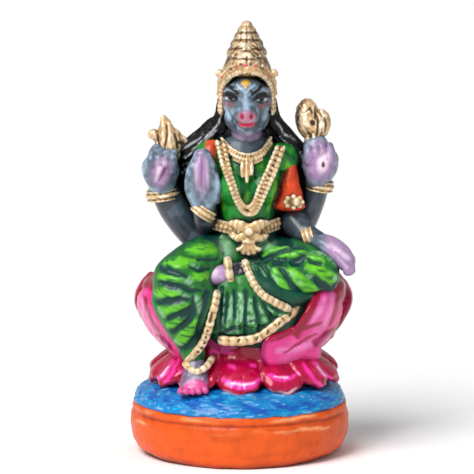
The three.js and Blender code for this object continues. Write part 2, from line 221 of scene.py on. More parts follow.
class Clay:
    """Closed forms that overlap. Each form can carry its own values for the paint."""

    def __init__(self, *marks):
        self.mesh = bmesh.new()
        self.marks = {name: self.mesh.verts.layers.float.new(name) for name in marks}

    def ball(self, sides, rings):
        """A unit ball as a mesh of its own, with each vertex's share from pole to pole and its bearing."""
        form = bmesh.new()
        made = bmesh.ops.create_uvsphere(form, u_segments=sides, v_segments=rings, radius=1.0)
        places = np.array([vert.co[:] for vert in made["verts"]])
        share = np.arccos(np.clip(-places[:, 2], -1, 1)) / math.pi
        angle = np.mod(np.arctan2(places[:, 1], places[:, 0]), TURN)
        return form, places, share, angle

    def put(self, form, places, marks, t, angle):
        """Moves a ball's vertices to their places, marks them and adds the form to the clay."""
        places = places.copy()
        places[:, 1] = np.minimum(places[:, 1], BACK_Y)
        places[:, 2] = np.maximum(places[:, 2], 0)
        for vert, place in zip(form.verts, places):
            vert.co = place
        for name, value in marks.items():
            values = value(t, angle, places) if callable(value) else np.full(len(places), float(value))
            layer = form.verts.layers.float.new(name)
            for vert, one in zip(form.verts, values):
                vert[layer] = one
        data = bpy.data.meshes.new("form")
        form.to_mesh(data)
        form.free()
        self.mesh.from_mesh(data)
        bpy.data.meshes.remove(data)

    def limb(self, stations, face=FRONT, ends=1.0, folds=None, sides=40, rings=60, **marks):
        """Oval sections along a smooth line; a station is x, y, z, half width, half depth."""
        form, _, share, angle = self.ball(sides, rings)
        t = np.clip((share - CAP) / (1 - 2 * CAP), 0, 1)
        turn = np.clip(np.minimum(share, 1 - share) / CAP, 0, 1) * math.pi / 2
        grown = np.sin(turn)
        past = np.cos(turn) * np.sign(share - 0.5) * ends
        row = spline(stations, t)
        ahead = spline(stations, np.minimum(t + NUDGE, 1))[:, :3]
        behind = spline(stations, np.maximum(t - NUDGE, 0))[:, :3]
        along = unit(ahead - behind)
        depth = unit(face - along * (along @ face)[:, None])
        width = np.cross(depth, along)
        half = np.maximum(row[:, 3:5], LEAST_HALF)
        fold = folds(t, angle) * grown if folds else np.zeros(len(t))
        middle = row[:, :3] + along * (past * half.min(axis=1))[:, None]
        across = (half[:, 0] * grown + fold) * np.cos(angle)
        deep = (half[:, 1] * grown + fold) * np.sin(angle)
        places = middle + width * across[:, None] + depth * deep[:, None]
        self.put(form, places, marks, t, angle)

    def blob(self, at, half, lean=0.0, tip=0.0, sides=32, rings=24, **marks):
        """An egg: half sizes along X, Y and Z, turned about Y by lean and X by tip, in degrees."""
        form, places, share, angle = self.ball(sides, rings)
        turn = Matrix.Rotation(math.radians(tip), 3, "X") @ Matrix.Rotation(math.radians(lean), 3, "Y")
        places = (places * np.asarray(half, float)) @ np.array(turn).T + np.asarray(at, float)
        self.put(form, places, marks, share, angle)

    def stack(self, levels, centre, squareness=4.5, sides=140, rings=90, **marks):
        """Level outlines stacked up; a level is z, half width, front depth, back depth."""
        form, _, share, angle = self.ball(sides, rings)
        levels = np.asarray(levels, float)
        shut = np.array([1.0, 0.0, 0.0, 0.0])
        rows = np.vstack([levels[0] * shut, levels, levels[-1] * shut])
        steps = np.hypot(np.diff(rows[:, 0]), np.diff(rows[:, 1]))
        gone = np.concatenate([[0], np.cumsum(steps)])
        at = share * gone[-1]
        row = np.stack([np.interp(at, gone, rows[:, k]) for k in range(4)], axis=1)
        bearing = even_bearings(levels.mean(axis=0)[1:], squareness, angle / TURN)
        x, y = outline(row[:, 1], row[:, 2], row[:, 3], bearing, squareness)
        places = np.stack([centre[0] + x, centre[1] + y, row[:, 0]], axis=1)
        self.put(form, places, marks, share, angle)


def outline(width, front, back, bearing, squareness):
    """A level outline: an ellipse in front, squarer behind. The bearing is 0 at +X, a quarter turn at +Y."""
    behind = np.sin(bearing) > 0
    power = np.where(behind, 2 / squareness, 1.0)
    x = np.sign(np.cos(bearing)) * np.abs(np.cos(bearing)) ** power
    y = np.sign(np.sin(bearing)) * np.abs(np.sin(bearing)) ** power
    return width * x, np.where(behind, back, front) * y


def even_bearings(level, squareness, shares):
    """Bearings at even steps of length round an outline."""
    dense = np.linspace(0, TURN, BEARINGS)
    x, y = outline(*level, dense, squareness)
    gone = np.concatenate([[0], np.cumsum(np.hypot(np.diff(x), np.diff(y)))])
    return np.interp(shares * gone[-1], gone, dense)


def islands(count, edges):
    """The lowest vertex number of the island that each vertex is in."""
    label = np.arange(count)
    while True:
        low = np.minimum(label[edges[:, 0]], label[edges[:, 1]])
        fresh = label.copy()
        np.minimum.at(fresh, edges[:, 0], low)
        np.minimum.at(fresh, edges[:, 1], low)
        fresh = fresh[fresh]
        if np.array_equal(fresh, label):
            return label
        label = fresh


def drop_hollows(data):
    """Takes out crumbs, and closed pockets inside the skin, whose faces enclose a negative volume."""
    count = len(data.vertices)
    places = read(data.vertices, "co", 3)
    edges = read(data.edges, "vertices", 2, int)
    label = islands(count, edges)
    data.calc_loop_triangles()
    corners = read(data.loop_triangles, "vertices", 3, int)
    a, b, c = (places[corners[:, k]] for k in range(3))
    parts = np.einsum("ij,ij->i", a, np.cross(b, c)) / 6
    volume = np.bincount(label[corners[:, 0]], weights=parts, minlength=count)
    gone = volume[label] < CRUMB
    if gone.any():
        work = bmesh.new()
        work.from_mesh(data)
        work.verts.ensure_lookup_table()
        bmesh.ops.delete(work, geom=[work.verts[i] for i in np.flatnonzero(gone)], context="VERTS")
        work.to_mesh(data)
        work.free()


def read(items, name, width, kind=float):
    """One value of each item of a mesh, as rows of the given width."""
    values = np.zeros(len(items) * width, dtype=np.int32 if kind is int else np.float32)
    items.foreach_get(name, values)
    return values.reshape(-1, width).astype(kind)


class Skin:
    """The melted clay as a mesh of even small faces, with the forms' paint values carried over."""

    def __init__(self, clay, voxel, soften=2):
        source = bpy.data.meshes.new("clay")
        clay.mesh.to_mesh(source)
        holder = bpy.data.objects.new("clay", source)
        bpy.context.scene.collection.objects.link(holder)
        melt = holder.modifiers.new("Melt", "REMESH")
        melt.mode = "VOXEL"
        melt.voxel_size = voxel / MM
        ease = holder.modifiers.new("Ease", "SMOOTH")
        ease.factor = 0.5
        ease.iterations = soften
        ready = holder.evaluated_get(bpy.context.evaluated_depsgraph_get())
        self.data = bpy.data.meshes.new_from_object(ready)
        bpy.data.objects.remove(holder)
        bpy.data.meshes.remove(source)
        drop_hollows(self.data)
        self.places = read(self.data.vertices, "co", 3)
        self.normals = read(self.data.vertices, "normal", 3)
        self.masks = {}
        if clay.marks:
            self.carry(clay)
        clay.mesh.free()

    def carry(self, clay):
        """Takes the paint values over from the nearest face of the forms."""
        clay.mesh.verts.index_update()
        tree = BVHTree.FromBMesh(clay.mesh)
        clay.mesh.faces.ensure_lookup_table()
        corners = np.full((len(clay.mesh.faces), 4), -1)
        for face in clay.mesh.faces:
            corners[face.index, : len(face.verts)] = [vert.index for vert in face.verts]
        source = np.array([vert.co[:] for vert in clay.mesh.verts])
        found = np.array([tree.find_nearest(Vector(place))[2] for place in self.places])
        near = corners[found]
        gap = np.linalg.norm(source[near] - self.places[:, None, :], axis=2)
        weight = np.where(near >= 0, 1 / (gap**2 + 1e-4), 0)
        weight /= weight.sum(axis=1, keepdims=True)
        for name in clay.marks:
            layer = clay.mesh.verts.layers.float[name]
            value = np.array([vert[layer] for vert in clay.mesh.verts])
            self.masks[name] = (value[near] * weight).sum(axis=1)

    def push(self, amount):
        """Moves the skin out along its normals, in millimetres, and keeps the back and foot flat."""
        self.places += self.normals * np.asarray(amount)[:, None]
        self.places[:, 1] = np.minimum(self.places[:, 1], BACK_Y)
        self.places[:, 2] = np.maximum(self.places[:, 2], 0)
        self.data.vertices.foreach_set("co", self.places.astype(np.float32).ravel())
        self.data.update()
        self.normals = read(self.data.vertices, "normal", 3)

    def depth(self, rounds=9):
        """How far each place lies below its surroundings, in millimetres: above 0 in a crevice."""
        edges = read(self.data.edges, "vertices", 2, int)
        start, end = edges[:, 0], edges[:, 1]
        count = len(self.places)
        near = np.maximum(np.bincount(start, minlength=count) + np.bincount(end, minlength=count), 1)
        mean = self.places
        for _ in range(rounds):
            sums = [
                np.bincount(start, mean[end, k], count) + np.bincount(end, mean[start, k], count)
                for k in range(3)
            ]
            mean = np.stack(sums, axis=1) / near[:, None]
        return ((mean - self.places) * self.normals).sum(axis=1)

    def paint(self, **masks):
        """Adds masks of 0 to 1, one value for each vertex, which the finish reads by name."""
        self.masks.update(masks)

    def cast(self, name, slot, finish):
        """The finished piece: in metres, riding on the doll and standing for its CAD node."""
        # Unless the piece gave its own, painted shade in the crevices and a painted highlight on the crests.
        depth = self.depth()
        self.masks.setdefault("painted_shade", smooth(*SHADED_HOLLOW_DEPTHS, depth))
        self.masks.setdefault("crest", smooth(*HIGHLIGHT_CREST_HEIGHTS, -depth))
        for mask, values in self.masks.items():
            layer = self.data.attributes.new(mask, "FLOAT", "POINT")
            layer.data.foreach_set("value", np.clip(values, 0, 1).astype(np.float32))
        self.data.transform(Matrix.Scale(MM, 4))
        self.data.shade_smooth()
        self.data.name = name
        piece = bpy.data.objects.new(name, self.data)
        bpy.context.scene.collection.objects.link(piece)
        self.data.materials.clear()
        self.data.materials.append(finish)
        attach(piece, BODY)
        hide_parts(NODE)


# Brushwork: masks painted on the front view's X and Z


def dab(places, x, z, half_x, half_z, turn=0.0, soft=0.3):
    """An oval touch of paint, turned by degrees, with a soft edge as a share of its size."""
    a = math.radians(turn)
    dx, dz = places[:, 0] - x, places[:, 2] - z
    u = (dx * math.cos(a) + dz * math.sin(a)) / half_x
    w = (dz * math.cos(a) - dx * math.sin(a)) / half_z
    return 1 - smooth(1 - soft, 1 + soft, np.hypot(u, w))


def stroke(places, points, soft=0.3):
    """A brush stroke through points of x, z and half width, with a soft edge in millimetres."""
    best = np.zeros(len(places))
    flat = places[:, [0, 2]]
    for start, end in zip(points[:-1], points[1:]):
        a, b = np.array(start[:2]), np.array(end[:2])
        t = np.clip((flat - a) @ (b - a) / max((b - a) @ (b - a), 1e-9), 0, 1)
        gap = np.linalg.norm(flat - a - t[:, None] * (b - a), axis=1)
        wide = start[2] + (end[2] - start[2]) * t
        best = np.maximum(best, 1 - smooth(wide - soft, wide + soft, gap))
    return best


def most(*masks):
    """The strongest of several masks at each place."""
    return np.maximum.reduce(masks)


def brushed(places, strokes, soft=0.5, grow=1.0):
    """All the strokes of one brush, a little uneven as by hand, and wider where asked."""
    strokes = [[(x, z, wide * grow) for x, z, wide in points] for points in strokes]
    wander = np.stack([ripple(places, 7, 11), np.zeros(len(places)), ripple(places, 7, 12)], axis=1)
    return most(*(stroke(places + 0.3 * wander, points, soft) for points in strokes))


def from_front(depth, strokes):
    """Strokes at a depth along Y, in millimetres, from points of x, y and half width in the front view."""
    rise = VIEW_SINE * (depth + VIEW_DEPTH)

    def point(x, y, half):
        z = (VIEW_TOP - VIEW_STEP * y - rise) / VIEW_COSINE
        return round(VIEW_STEP * x - VIEW_LEFT, 1), round(z, 1), round(VIEW_STEP * half, 1)

    return [[point(*place) for place in points] for points in strokes]


# Finishes


def link(tree, start, end):
    tree.links.new(start, end)


def noise_node(tree, where, size, detail, stretch=(1, 1, 1)):
    """Noise with features of about the given size in millimetres."""
    mapping = tree.nodes.new("ShaderNodeMapping")
    mapping.inputs["Scale"].default_value = stretch
    noise = tree.nodes.new("ShaderNodeTexNoise")
    noise.inputs["Scale"].default_value = 1 / (size * MM)
    noise.inputs["Detail"].default_value = detail
    link(tree, where, mapping.inputs["Vector"])
    link(tree, mapping.outputs["Vector"], noise.inputs["Vector"])
    return noise.outputs["Fac"]


def ranged(tree, value, low, high, to_low, to_high):
    """A Map Range node, which takes low to to_low and high to to_high."""
    node = tree.nodes.new("ShaderNodeMapRange")
    node.inputs["From Min"].default_value = low
    node.inputs["From Max"].default_value = high
    node.inputs["To Min"].default_value = to_low
    node.inputs["To Max"].default_value = to_high
    link(tree, value, node.inputs["Value"])
    return node.outputs["Result"]


MIX_SOCKETS = {"RGBA": (6, 7, 2), "FLOAT": (2, 3, 0)}  # both inputs and the output


def mixed(tree, factor, first, second, kind="RGBA"):
    """A Mix node; first and second are a socket or a plain value."""
    node = tree.nodes.new("ShaderNodeMix")
    node.data_type = kind
    node.clamp_factor = True
    pick = MIX_SOCKETS[kind]
    link(tree, factor, node.inputs[0])
    for index, value in zip(pick, (first, second)):
        if isinstance(value, bpy.types.NodeSocket):
            link(tree, value, node.inputs[index])
        elif kind == "RGBA":
            node.inputs[index].default_value = (*value, 1.0)
        else:
            node.inputs[index].default_value = value
    return node.outputs[pick[2]]


def attribute(tree, name):
    """A mask of the piece, by its name."""
    layer = tree.nodes.new("ShaderNodeAttribute")
    layer.attribute_name = name
    return layer.outputs["Fac"]


def maths(tree, operation, first, second):
    """A Math node of two sockets."""
    node = tree.nodes.new("ShaderNodeMath")
    node.operation = operation
    link(tree, first, node.inputs[0])
    link(tree, second, node.inputs[1])
    return node.outputs[0]


CLOUD_SIZE, BRISTLE_SIZE, GRAIN_SIZE = 6.0, 1.6, 0.5  # unevenness of the paint, in millimetres
BRISTLE_STRETCH = (1.0, 1.0, 0.35)  # brush marks run up and down
OCCLUSION_REACH = 5.0  # how near other clay has to be for painted shade to fall, in millimetres
PAINT_RELIEF = 0.4  # how high brush marks stand, in millimetres


def finish(
    name,
    ground,
    coats,
    painted_shade="black",
    crest=None,
    rough=0.36,
    metal=0.0,
    mottle=0.16,
    relief=0.12,
    gloss=0.25,
    shade_strength=0.85,
    shine=0.4,
):
    """Brushed paint: a mottled ground, coats laid over it where the masks say, a dry brush on the
    crests, and a thin dark wash that has run into the crevices.

    A coat is (mask, pigment, roughness, metallic)."""
    paints = bpy.context.scene.doll_paint
    material = bpy.data.materials.new(name)
    material.use_nodes = True
    tree = material.node_tree
    shader = tree.nodes["Principled BSDF"]
    where = tree.nodes.new("ShaderNodeTexCoord").outputs["Object"]
    cloudy = noise_node(tree, where, CLOUD_SIZE, 3.0)
    brushed_in = noise_node(tree, where, BRISTLE_SIZE, 4.0, BRISTLE_STRETCH)
    fine = noise_node(tree, where, GRAIN_SIZE, 3.0)
    colour = tuple(getattr(paints, ground))
    rough_now, metal_now = rough, metal
    for mask, paint, coat_rough, coat_metal in coats:
        over = attribute(tree, mask)
        colour = mixed(tree, over, colour, tuple(getattr(paints, paint)))
        rough_now = mixed(tree, over, rough_now, coat_rough, "FLOAT")
        metal_now = mixed(tree, over, metal_now, coat_metal, "FLOAT")
    # Painted highlight: the crest pigment on the skin's crests, broken by the brush marks.
    if crest:
        bristles = ranged(tree, brushed_in, 0.35, 0.6, 0.15, 0.9)
        crest_highlight = maths(tree, "MULTIPLY", attribute(tree, "crest"), bristles)
        colour = mixed(tree, crest_highlight, colour, tuple(getattr(paints, crest)))
    cloud = ranged(tree, cloudy, 0.3, 0.7, 1 - mottle, 1 + mottle)
    streak = ranged(tree, brushed_in, 0.3, 0.7, 1 - mottle * 0.6, 1 + mottle * 0.6)
    for level in (cloud, streak):
        scale = tree.nodes.new("ShaderNodeVectorMath")
        scale.operation = "SCALE"
        link(tree, colour, scale.inputs[0])
        link(tree, level, scale.inputs["Scale"])
        colour = scale.outputs[0]
    # Painted shade: the shade pigment where other clay stands near, by ambient occlusion, and in the skin's
    # crevices.
    occlusion = tree.nodes.new("ShaderNodeAmbientOcclusion")
    occlusion.samples = 6
    occlusion.inputs["Distance"].default_value = OCCLUSION_REACH * MM
    occlusion_shade = ranged(tree, occlusion.outputs["AO"], 0.8, 0.25, 0.0, shade_strength)
    crevice_shade = ranged(tree, attribute(tree, "painted_shade"), 0.0, 1.0, 0.0, shade_strength)
    colour = mixed(tree, maths(tree, "MAXIMUM", occlusion_shade, crevice_shade), colour, tuple(getattr(paints, painted_shade)))
    link(tree, colour, shader.inputs["Base Color"])
    for value, socket in ((rough_now, "Roughness"), (metal_now, "Metallic")):
        if isinstance(value, bpy.types.NodeSocket):
            link(tree, value, shader.inputs[socket])
        else:
            shader.inputs[socket].default_value = value
    raised = tree.nodes.new("ShaderNodeBump")
    raised.inputs["Strength"].default_value = relief
    raised.inputs["Distance"].default_value = PAINT_RELIEF * MM
    link(tree, mixed(tree, brushed_in, 0.0, fine, "FLOAT"), raised.inputs["Height"])
    link(tree, raised.outputs["Normal"], shader.inputs["Normal"])
    shader.inputs["Specular IOR Level"].default_value = shine
    shader.inputs["Coat Weight"].default_value = gloss
    shader.inputs["Coat Roughness"].default_value = 0.12
    return material


# The pieces


def doll_operator(name, label, text, work):
    """An operator that makes one piece or one group of like pieces."""

    def execute(self, context):
        work(context.scene.doll_sizes)
        return {"FINISHED"}

    words = {"bl_idname": f"doll.{name}", "bl_label": label, "bl_options": {"REGISTER"}}
    return type(f"DOLL_OT_{name}", (Operator,), {**words, "__doc__": text, "execute": execute})


PLINTH_HALF = 51.7
PLINTH_FRONT = 50.0
PLINTH_BACK_BULGE = 1.5  # past the flat back, which cuts it off
PLINTH_GRAIN, WATER_GRAIN = 1.0, 0.8  # voxel sizes
PLINTH_LEVELS = [
    (0, 0.8, 0.955), (1.2, 0.87, 0.975), (3.6, 0.945, 0.988), (8, 0.985, 0.996), (15, 1, 1), (17.2, 1, 1),
    (18.8, 0.996, 0.996), (20.0, 0.974, 0.974), (20.9, 0.97, 0.97), (21.7, 0.984, 0.984),
    (22.8, 0.984, 0.984), (24.4, 0.966, 0.966), (25, 0.93, 0.93),
]


def plinth_levels(profile):
    """Levels of the plinth's oval; a row is z, and shares of the half width and of the front depth."""
    return [
        (z, PLINTH_HALF * side, PLINTH_FRONT * front, BACK_Y + PLINTH_BACK_BULGE * side)
        for z, side, front in profile
    ]


def behind_mask(places, wander=0.6, seed=5):
    """Where the paint of the flat back begins."""
    return smooth(BACK_Y - 1.4, BACK_Y - 0.5, places[:, 1] + wander * ripple(places, 14, seed))


def make_plinth(sizes):
    """The oval plinth, with a groove and a fainter one above its middle, and orange paint."""
    clay = Clay()
    clay.stack(plinth_levels(PLINTH_LEVELS), (0, 0))
    skin = Skin(clay, PLINTH_GRAIN * MM, 1)
    p = skin.places
    skin.push(0.2 * ripple(p, 9, 1) + 0.07 * ripple(p, 3, 2))
    ahead = smooth(-8, -22, p[:, 1])
    wander = 0.35 * ripple(p, 16, 4)
    groove = bump(p[:, 2] + wander, 20.5, 1.1) * ahead
    broken = smooth(-0.6, 0.4, ripple(p, 24, 9, (1, 1, 3)))
    second = bump(p[:, 2] + 1.3 * wander, 18.5, 0.8) * ahead * broken
    skin.push(-0.3 * second)
    groove = most(groove, 0.6 * second)
    # Painted shade near the floor.
    low = smooth(2.4, 0.2, p[:, 2]) * 0.5
    along = ripple(p, 20, 6, (1, 1, 3.2))
    # Painted highlights along the rims above and below the grooves.
    upper = bump(p[:, 2] + wander, 22.9, 1.2) * smooth(-0.4, 0.6, along)
    lower = bump(p[:, 2] + 2 * wander, 17.2, 1.3) * smooth(-0.1, 0.7, -along)
    light = most(upper, lower) * ahead
    dusk = smooth(0.3, 1.1, ripple(p, 17, 8, (1, 1, 2.4))) * 0.22
    # The painted shade of the grooves and the foot, with random darker patches, goes on in one mask.
    skin.paint(groove=most(groove * 0.7, low, dusk), light=light * 0.8, back=behind_mask(p))
    coats = [
        ("light", "plinth_light", 0.34, 0),
        ("groove", "plinth_shade", 0.45, 0),
        ("back", "back", 0.22, 0),
    ]
    paint = finish(
        "Orange plinth paint",
        "plinth",
        coats,
        painted_shade="plinth_shade",
        rough=0.44,
        mottle=0.09,
        gloss=0.06,
        shade_strength=0.6,
        shine=0.25,
    )
    skin.cast("plinth", "plinth_orange", paint)


# Each level of the water is its z and a share of the plinth's outline
WATER_LEVELS = [
    (23.6, 0.93), (24.4, 0.972), (25.6, 0.968), (28.2, 0.94), (30.4, 0.898), (32.2, 0.84), (33.6, 0.74),
    (34.6, 0.62), (35, 0.5),
]


def make_water(sizes):
    """The water, a low dome of ripples on the plinth."""
    clay = Clay()
    clay.stack(plinth_levels([(z, share, share) for z, share in WATER_LEVELS]), (0, 0))
    skin = Skin(clay, WATER_GRAIN * MM, 1)
    p = skin.places
    bearing = np.arctan2(p[:, 0], -p[:, 1])
    swell = np.stack([bearing * 30, p[:, 2] * 2.2, np.zeros(len(p))], axis=1)
    waves = ripple(swell, 9, 21)
    chop = ripple(swell, 3.4, 22, (1, 1.6, 1))
    skin.push(sizes.wave / MM * (0.6 * waves + 0.5 * chop))
    lines = np.cos((p[:, 2] + 1.1 * ripple(swell, 8, 24)) * TURN / 1.7)
    crest = smooth(0.55, 0.95, lines) * smooth(0.35, 1.0, chop + 0.6 * waves)
    teal = smooth(0.1, 0.8, -lines) * smooth(0.1, 0.9, ripple(swell, 6, 25))
    deep = smooth(0.2, 1.0, -waves - 0.6 * chop)
    skin.paint(foam=crest * 0.6, teal=teal * 0.8, deep=deep * 0.75, back=behind_mask(p))
    coats = [
        ("deep", "water_deep", 0.3, 0),
        ("teal", "turquoise", 0.3, 0),
        ("foam", "foam", 0.34, 0),
        ("back", "back", 0.22, 0),
    ]
    paint = finish(
        "Blue water paint", "water", coats, painted_shade="water_deep", rough=0.34, mottle=0.12, gloss=0.15, shine=0.3
    )
    skin.cast("water", "water_blue", paint)


LOTUS_X, LOTUS_Y, LOTUS_SQUARENESS = 2.0, -2.0, 8.0
# Each level of the bowl is z, half width, front depth, back depth
BOWL = [
    (31, 36, 25, 23),
    (38, 33.5, 23, 23),
    (46, 31, 20, 23),
    (53, 35.5, 20, 24),
    (63, 43.6, 22, 24),
    (74, 48, 24, 24),
    (81, 47, 23, 23),
    (84.5, 40, 19, 20),
]


def on_bowl(phi, z, out):
    """A point at height z, out from the bowl, at a bearing of phi degrees from the front."""
    rows = np.array(BOWL)
    level = [np.interp(z, rows[:, 0], rows[:, k]) + out for k in (1, 2, 3)]
    x, y = outline(*level, np.array(math.radians(phi - 90)), LOTUS_SQUARENESS)
    return LOTUS_X + float(x), LOTUS_Y + float(y), z


def add_petal(clay, phi, rows, border, lift=0.0, raised=0.0, **marks):
    """A petal on the bowl; each row is z, distance out of the bowl, half width, half thickness.
    The tip is raised by the given millimetres."""
    top, tip = rows[0][0], rows[-1][0]
    rows = [(z + raised * abs(top - z) / abs(top - tip), *rest) for z, *rest in rows]
    turn = math.radians(phi)
    face = unit(np.array([math.sin(turn), -math.cos(turn), lift]))
    stations = [(*on_bowl(phi, z, out), wide, thick) for z, out, wide, thick in rows]
    wide = np.array([(row[2], 0) for row in rows], float)
    reach = abs(rows[-1][0] - rows[0][0])

    def rim(t, angle, places):
        side = spline(wide, t)[:, 0] * (1 - np.abs(np.cos(angle)))
        end = (1 - t) * reach * 0.8
        edge = np.minimum(side, end)
        return (1 - smooth(border * 0.7, border * 1.15, edge)) * smooth(-0.35, 0.0, np.sin(angle)) + (
            np.sin(angle) < -0.35
        )

    def middle(t, angle, places):
        return bump(np.cos(angle), 0.1, 0.5) * smooth(0.1, 0.35, t) * smooth(0.98, 0.7, t)

    clay.limb(stations, face=face, sides=56, rings=56, rim=rim, middle=middle, **marks)


# Petals; each row is z, distance out of the bowl, half width, half thickness
INNER = [(44, -1, 5, 2.6), (52, 0, 11, 3.2), (62, 0.6, 15, 3.4), (73, 0.8, 13, 3.2), (82, -0.4, 3, 1.8)]
BROAD = [(43, -0.6, 11, 2.6), (48, 1.6, 17, 3.2), (54, 2.4, 17.4, 3.2), (61, 1.8, 8, 2.2)]
OUTER = [(46, -1.8, 6, 2.4), (50, -0.8, 10, 2.8), (56, 0.6, 12, 3), (63, 0.6, 3.4, 1.8)]
DROOPING = [
    (51, -1.8, 7, 2.4),
    (46, 0, 8.8, 2.8),
    (41.5, 3.2, 10, 3.4),
    (37.6, 6.2, 10.2, 3.6),
    (34.8, 8.2, 8, 3),
    (33, 9, 3.8, 2),
]


def make_lotus(sizes):
    """The bowl of the lotus with its upright petals, and the broad petal under the raised knee."""
    border = sizes.petal_border / MM
    clay = Clay("rim", "middle")
    levels = spline(BOWL, np.linspace(0, 1, 40))
    clay.stack(levels, (LOTUS_X, LOTUS_Y), LOTUS_SQUARENESS, rim=1, middle=0)
    for phi in (-100, -68, 52, 97):
        add_petal(clay, phi, INNER, border)
    add_petal(clay, 38, BROAD, border * 0.5)
    for phi in (-86, 80, 112):
        add_petal(clay, phi, OUTER, border)
    skin = Skin(clay, sizes.voxel * 1.2, 1)
    p = skin.places
    skin.push(0.12 * ripple(p, 6, 31))
    front = smooth(0.3, -0.1, skin.normals[:, 1])
    streaks = [
        [(36.4, 79, 1.8), (33, 73, 2.4), (29, 66.8, 1.6)],
        [(38, 64.6, 0.8), (30, 63.4, 1.5), (23.6, 61.4, 1.3), (15, 57.6, 0.8)],
        [(46.4, 76.4, 0.7), (45.4, 70, 1.0), (42.4, 63, 0.7)],
        [(21, 51.5, 0.3), (28, 55.4, 0.8), (36, 59.2, 0.5)],
        [(-44.6, 76, 0.6), (-42.6, 68, 0.9), (-38, 59.6, 0.8), (-33.6, 53, 0.5)],
    ]
    cut = brushed(p, streaks, 0.6) * front
    # Painted highlights, pearly pink, laid with the lilac middle of the petals.
    pearly_highlights = [
        [(39.6, 76, 1.2), (37.4, 71, 1.6), (34.6, 66.6, 1.2)],
        [(44.0, 77, 1.0), (42.6, 70, 1.2), (39.6, 63, 0.9)],
        [(18, 52.6, 1.2), (26, 52.2, 1.8), (34, 55, 1.4)],
        [(-46.2, 74, 0.7), (-44.4, 68, 0.8)],
    ]
    middle = most(skin.masks["middle"] * 0.45, brushed(p, pearly_highlights, 1.6) * front)
    rim = most(skin.masks["rim"], cut)
    purple = smooth(60, 56, p[:, 2] + ripple(p, 8, 34)) * smooth(0.9, 1, rim) * front
    skin.paint(rim=rim, middle=middle * (1 - rim) * 0.85, purple=purple * 0.8, back=behind_mask(p))
    coats = [
        ("middle", "petal_light", 0.26, 0.1),
        ("rim", "maroon", 0.3, 0.1),
        ("purple", "petal_purple", 0.3, 0.1),
        ("back", "back", 0.2, 0),
    ]
    paint = finish(
        "Pearly pink petal paint",
        "petal",
        coats,
        painted_shade="maroon",
        rough=0.3,
        metal=0.1,
        mottle=0.12,
        gloss=0.35,
        shine=0.3,
    )
    skin.cast("lotus", "lotus_pink", paint)


def make_low_petals(sizes):
    """The petals that droop on the water, and the dark swelling under the fan."""
    clay = Clay("rim", "middle")
    for phi in (-114, -88, -62, -34, -3, 28, 56, 84, 112):
        add_petal(clay, phi, DROOPING, 1.6, lift=0.9, raised=2.4 if abs(phi) > 50 else 0.0)
    under_fan = [(4, -19, 53, 9, 5), (16, -18.6, 50, 8, 4.6), (26, -16, 48, 8, 4)]
    clay.limb(under_fan, rim=0.4, middle=0)
    skin = Skin(clay, sizes.voxel, 1)
    p = skin.places
    front = smooth(0.3, -0.3, skin.normals[:, 1])
    dips = [
        [(1.2, 41, 0.3), (1.6, 37, 0.5), (1.4, 34.4, 0.3)],
        [(20, 40.6, 0.3), (20.6, 37.4, 0.4)],
        [(-14.6, 43, 0.4), (-12.8, 38, 0.5)],
    ]
    skin.push(0.15 * ripple(p, 5, 41) - 0.5 * brushed(p, dips, 0.6) * front)
    rims = [
        [(-7.8, 34.6, 0.5), (-4, 33.4, 0.7), (2, 32.6, 0.8), (7.6, 33.4, 0.6), (10.6, 35, 0.4)],
        [(13.4, 35.4, 0.4), (17, 33.8, 0.7), (22.6, 33.4, 0.7), (27, 35, 0.4)],
        [(-28.6, 36.4, 0.4), (-24, 34.2, 0.7), (-17, 33.2, 0.6)],
    ]
    # Hot pink bands across the petals, partly their own paint and partly painted highlight.
    bands = [
        [(-7.6, 39.6, 0.9), (-3.6, 38.0, 1.4), (2, 37.4, 1.5), (7.4, 38.2, 1.3), (10, 39.8, 0.7)],
        [(14, 41.6, 0.6), (18, 40, 1.1), (23.6, 40, 1.0), (27.6, 41.8, 0.6)],
        [(-28, 42.6, 0.5), (-25.4, 39.6, 0.8), (-22, 38.6, 0.5)],
        [(34.4, 46.2, 0.5), (38.4, 41, 0.8), (43.4, 36.2, 0.6)],
        [(30, 45.4, 0.5), (33.6, 40.2, 0.9), (38.4, 35.4, 0.6)],
        [(-31.4, 45.4, 0.5), (-34.6, 41, 0.8), (-39.4, 36.2, 0.6)],
        [(-28.4, 46.6, 0.5), (-31, 42, 0.7), (-35.6, 36.4, 0.6)],
        [(-13.4, 50.8, 0.6), (-8, 51.6, 0.8), (-3.4, 50.6, 0.5)],
        [(8, 53.2, 0.5), (16, 52.8, 0.8), (25, 54.2, 0.6)],
        [(-5.4, 45.4, 0.4), (-2.6, 44.8, 0.6)],
        [(5, 45.6, 0.4), (7.6, 45.2, 0.6)],
    ]
    # Painted glints.
    lit = [
        [(-4.4, 38.6, 0.3), (1.8, 37.8, 0.5), (7, 38.8, 0.3)],
        [(16.6, 40.8, 0.3), (22.4, 40.4, 0.4)],
        [(36.6, 43.6, 0.3), (40.6, 38.8, 0.4)],
        [(-33.4, 43, 0.3), (-37, 38.6, 0.4)],
    ]
    # Painted shade high on the petals, under the bowl and the fan, with random darker patches; it goes on
    # through the maroon of the rim mask.
    shade = smooth(46.5, 49.5, p[:, 2] + 1.2 * ripple(p, 7, 46)) * 0.9
    shade = most(shade, smooth(0.3, 1.2, ripple(p, 6, 47)) * 0.5)
    middle = brushed(p, bands, 0.7) * front
    edge = brushed(p, rims, 0.5) * front
    skin.paint(
        rim=most(skin.masks["rim"] * 0.6, shade) * (1 - middle),
        middle=middle,
        edge=most(edge * 0.8, brushed(p, lit, 0.4) * front * 0.8),
        back=behind_mask(p),
    )
    coats = [
        ("rim", "maroon", 0.3, 0.1),
        ("middle", "petal_hot", 0.24, 0.1),
        ("edge", "palm_light", 0.3, 0),
        ("back", "back", 0.2, 0),
    ]
    paint = finish(
        "Pearly magenta petal paint",
        "magenta",
        coats,
        painted_shade="maroon",
        rough=0.28,
        metal=0.1,
        mottle=0.16,
        gloss=0.35,
        shine=0.3,
    )
    skin.cast("low_petals", "petal_magenta", paint)


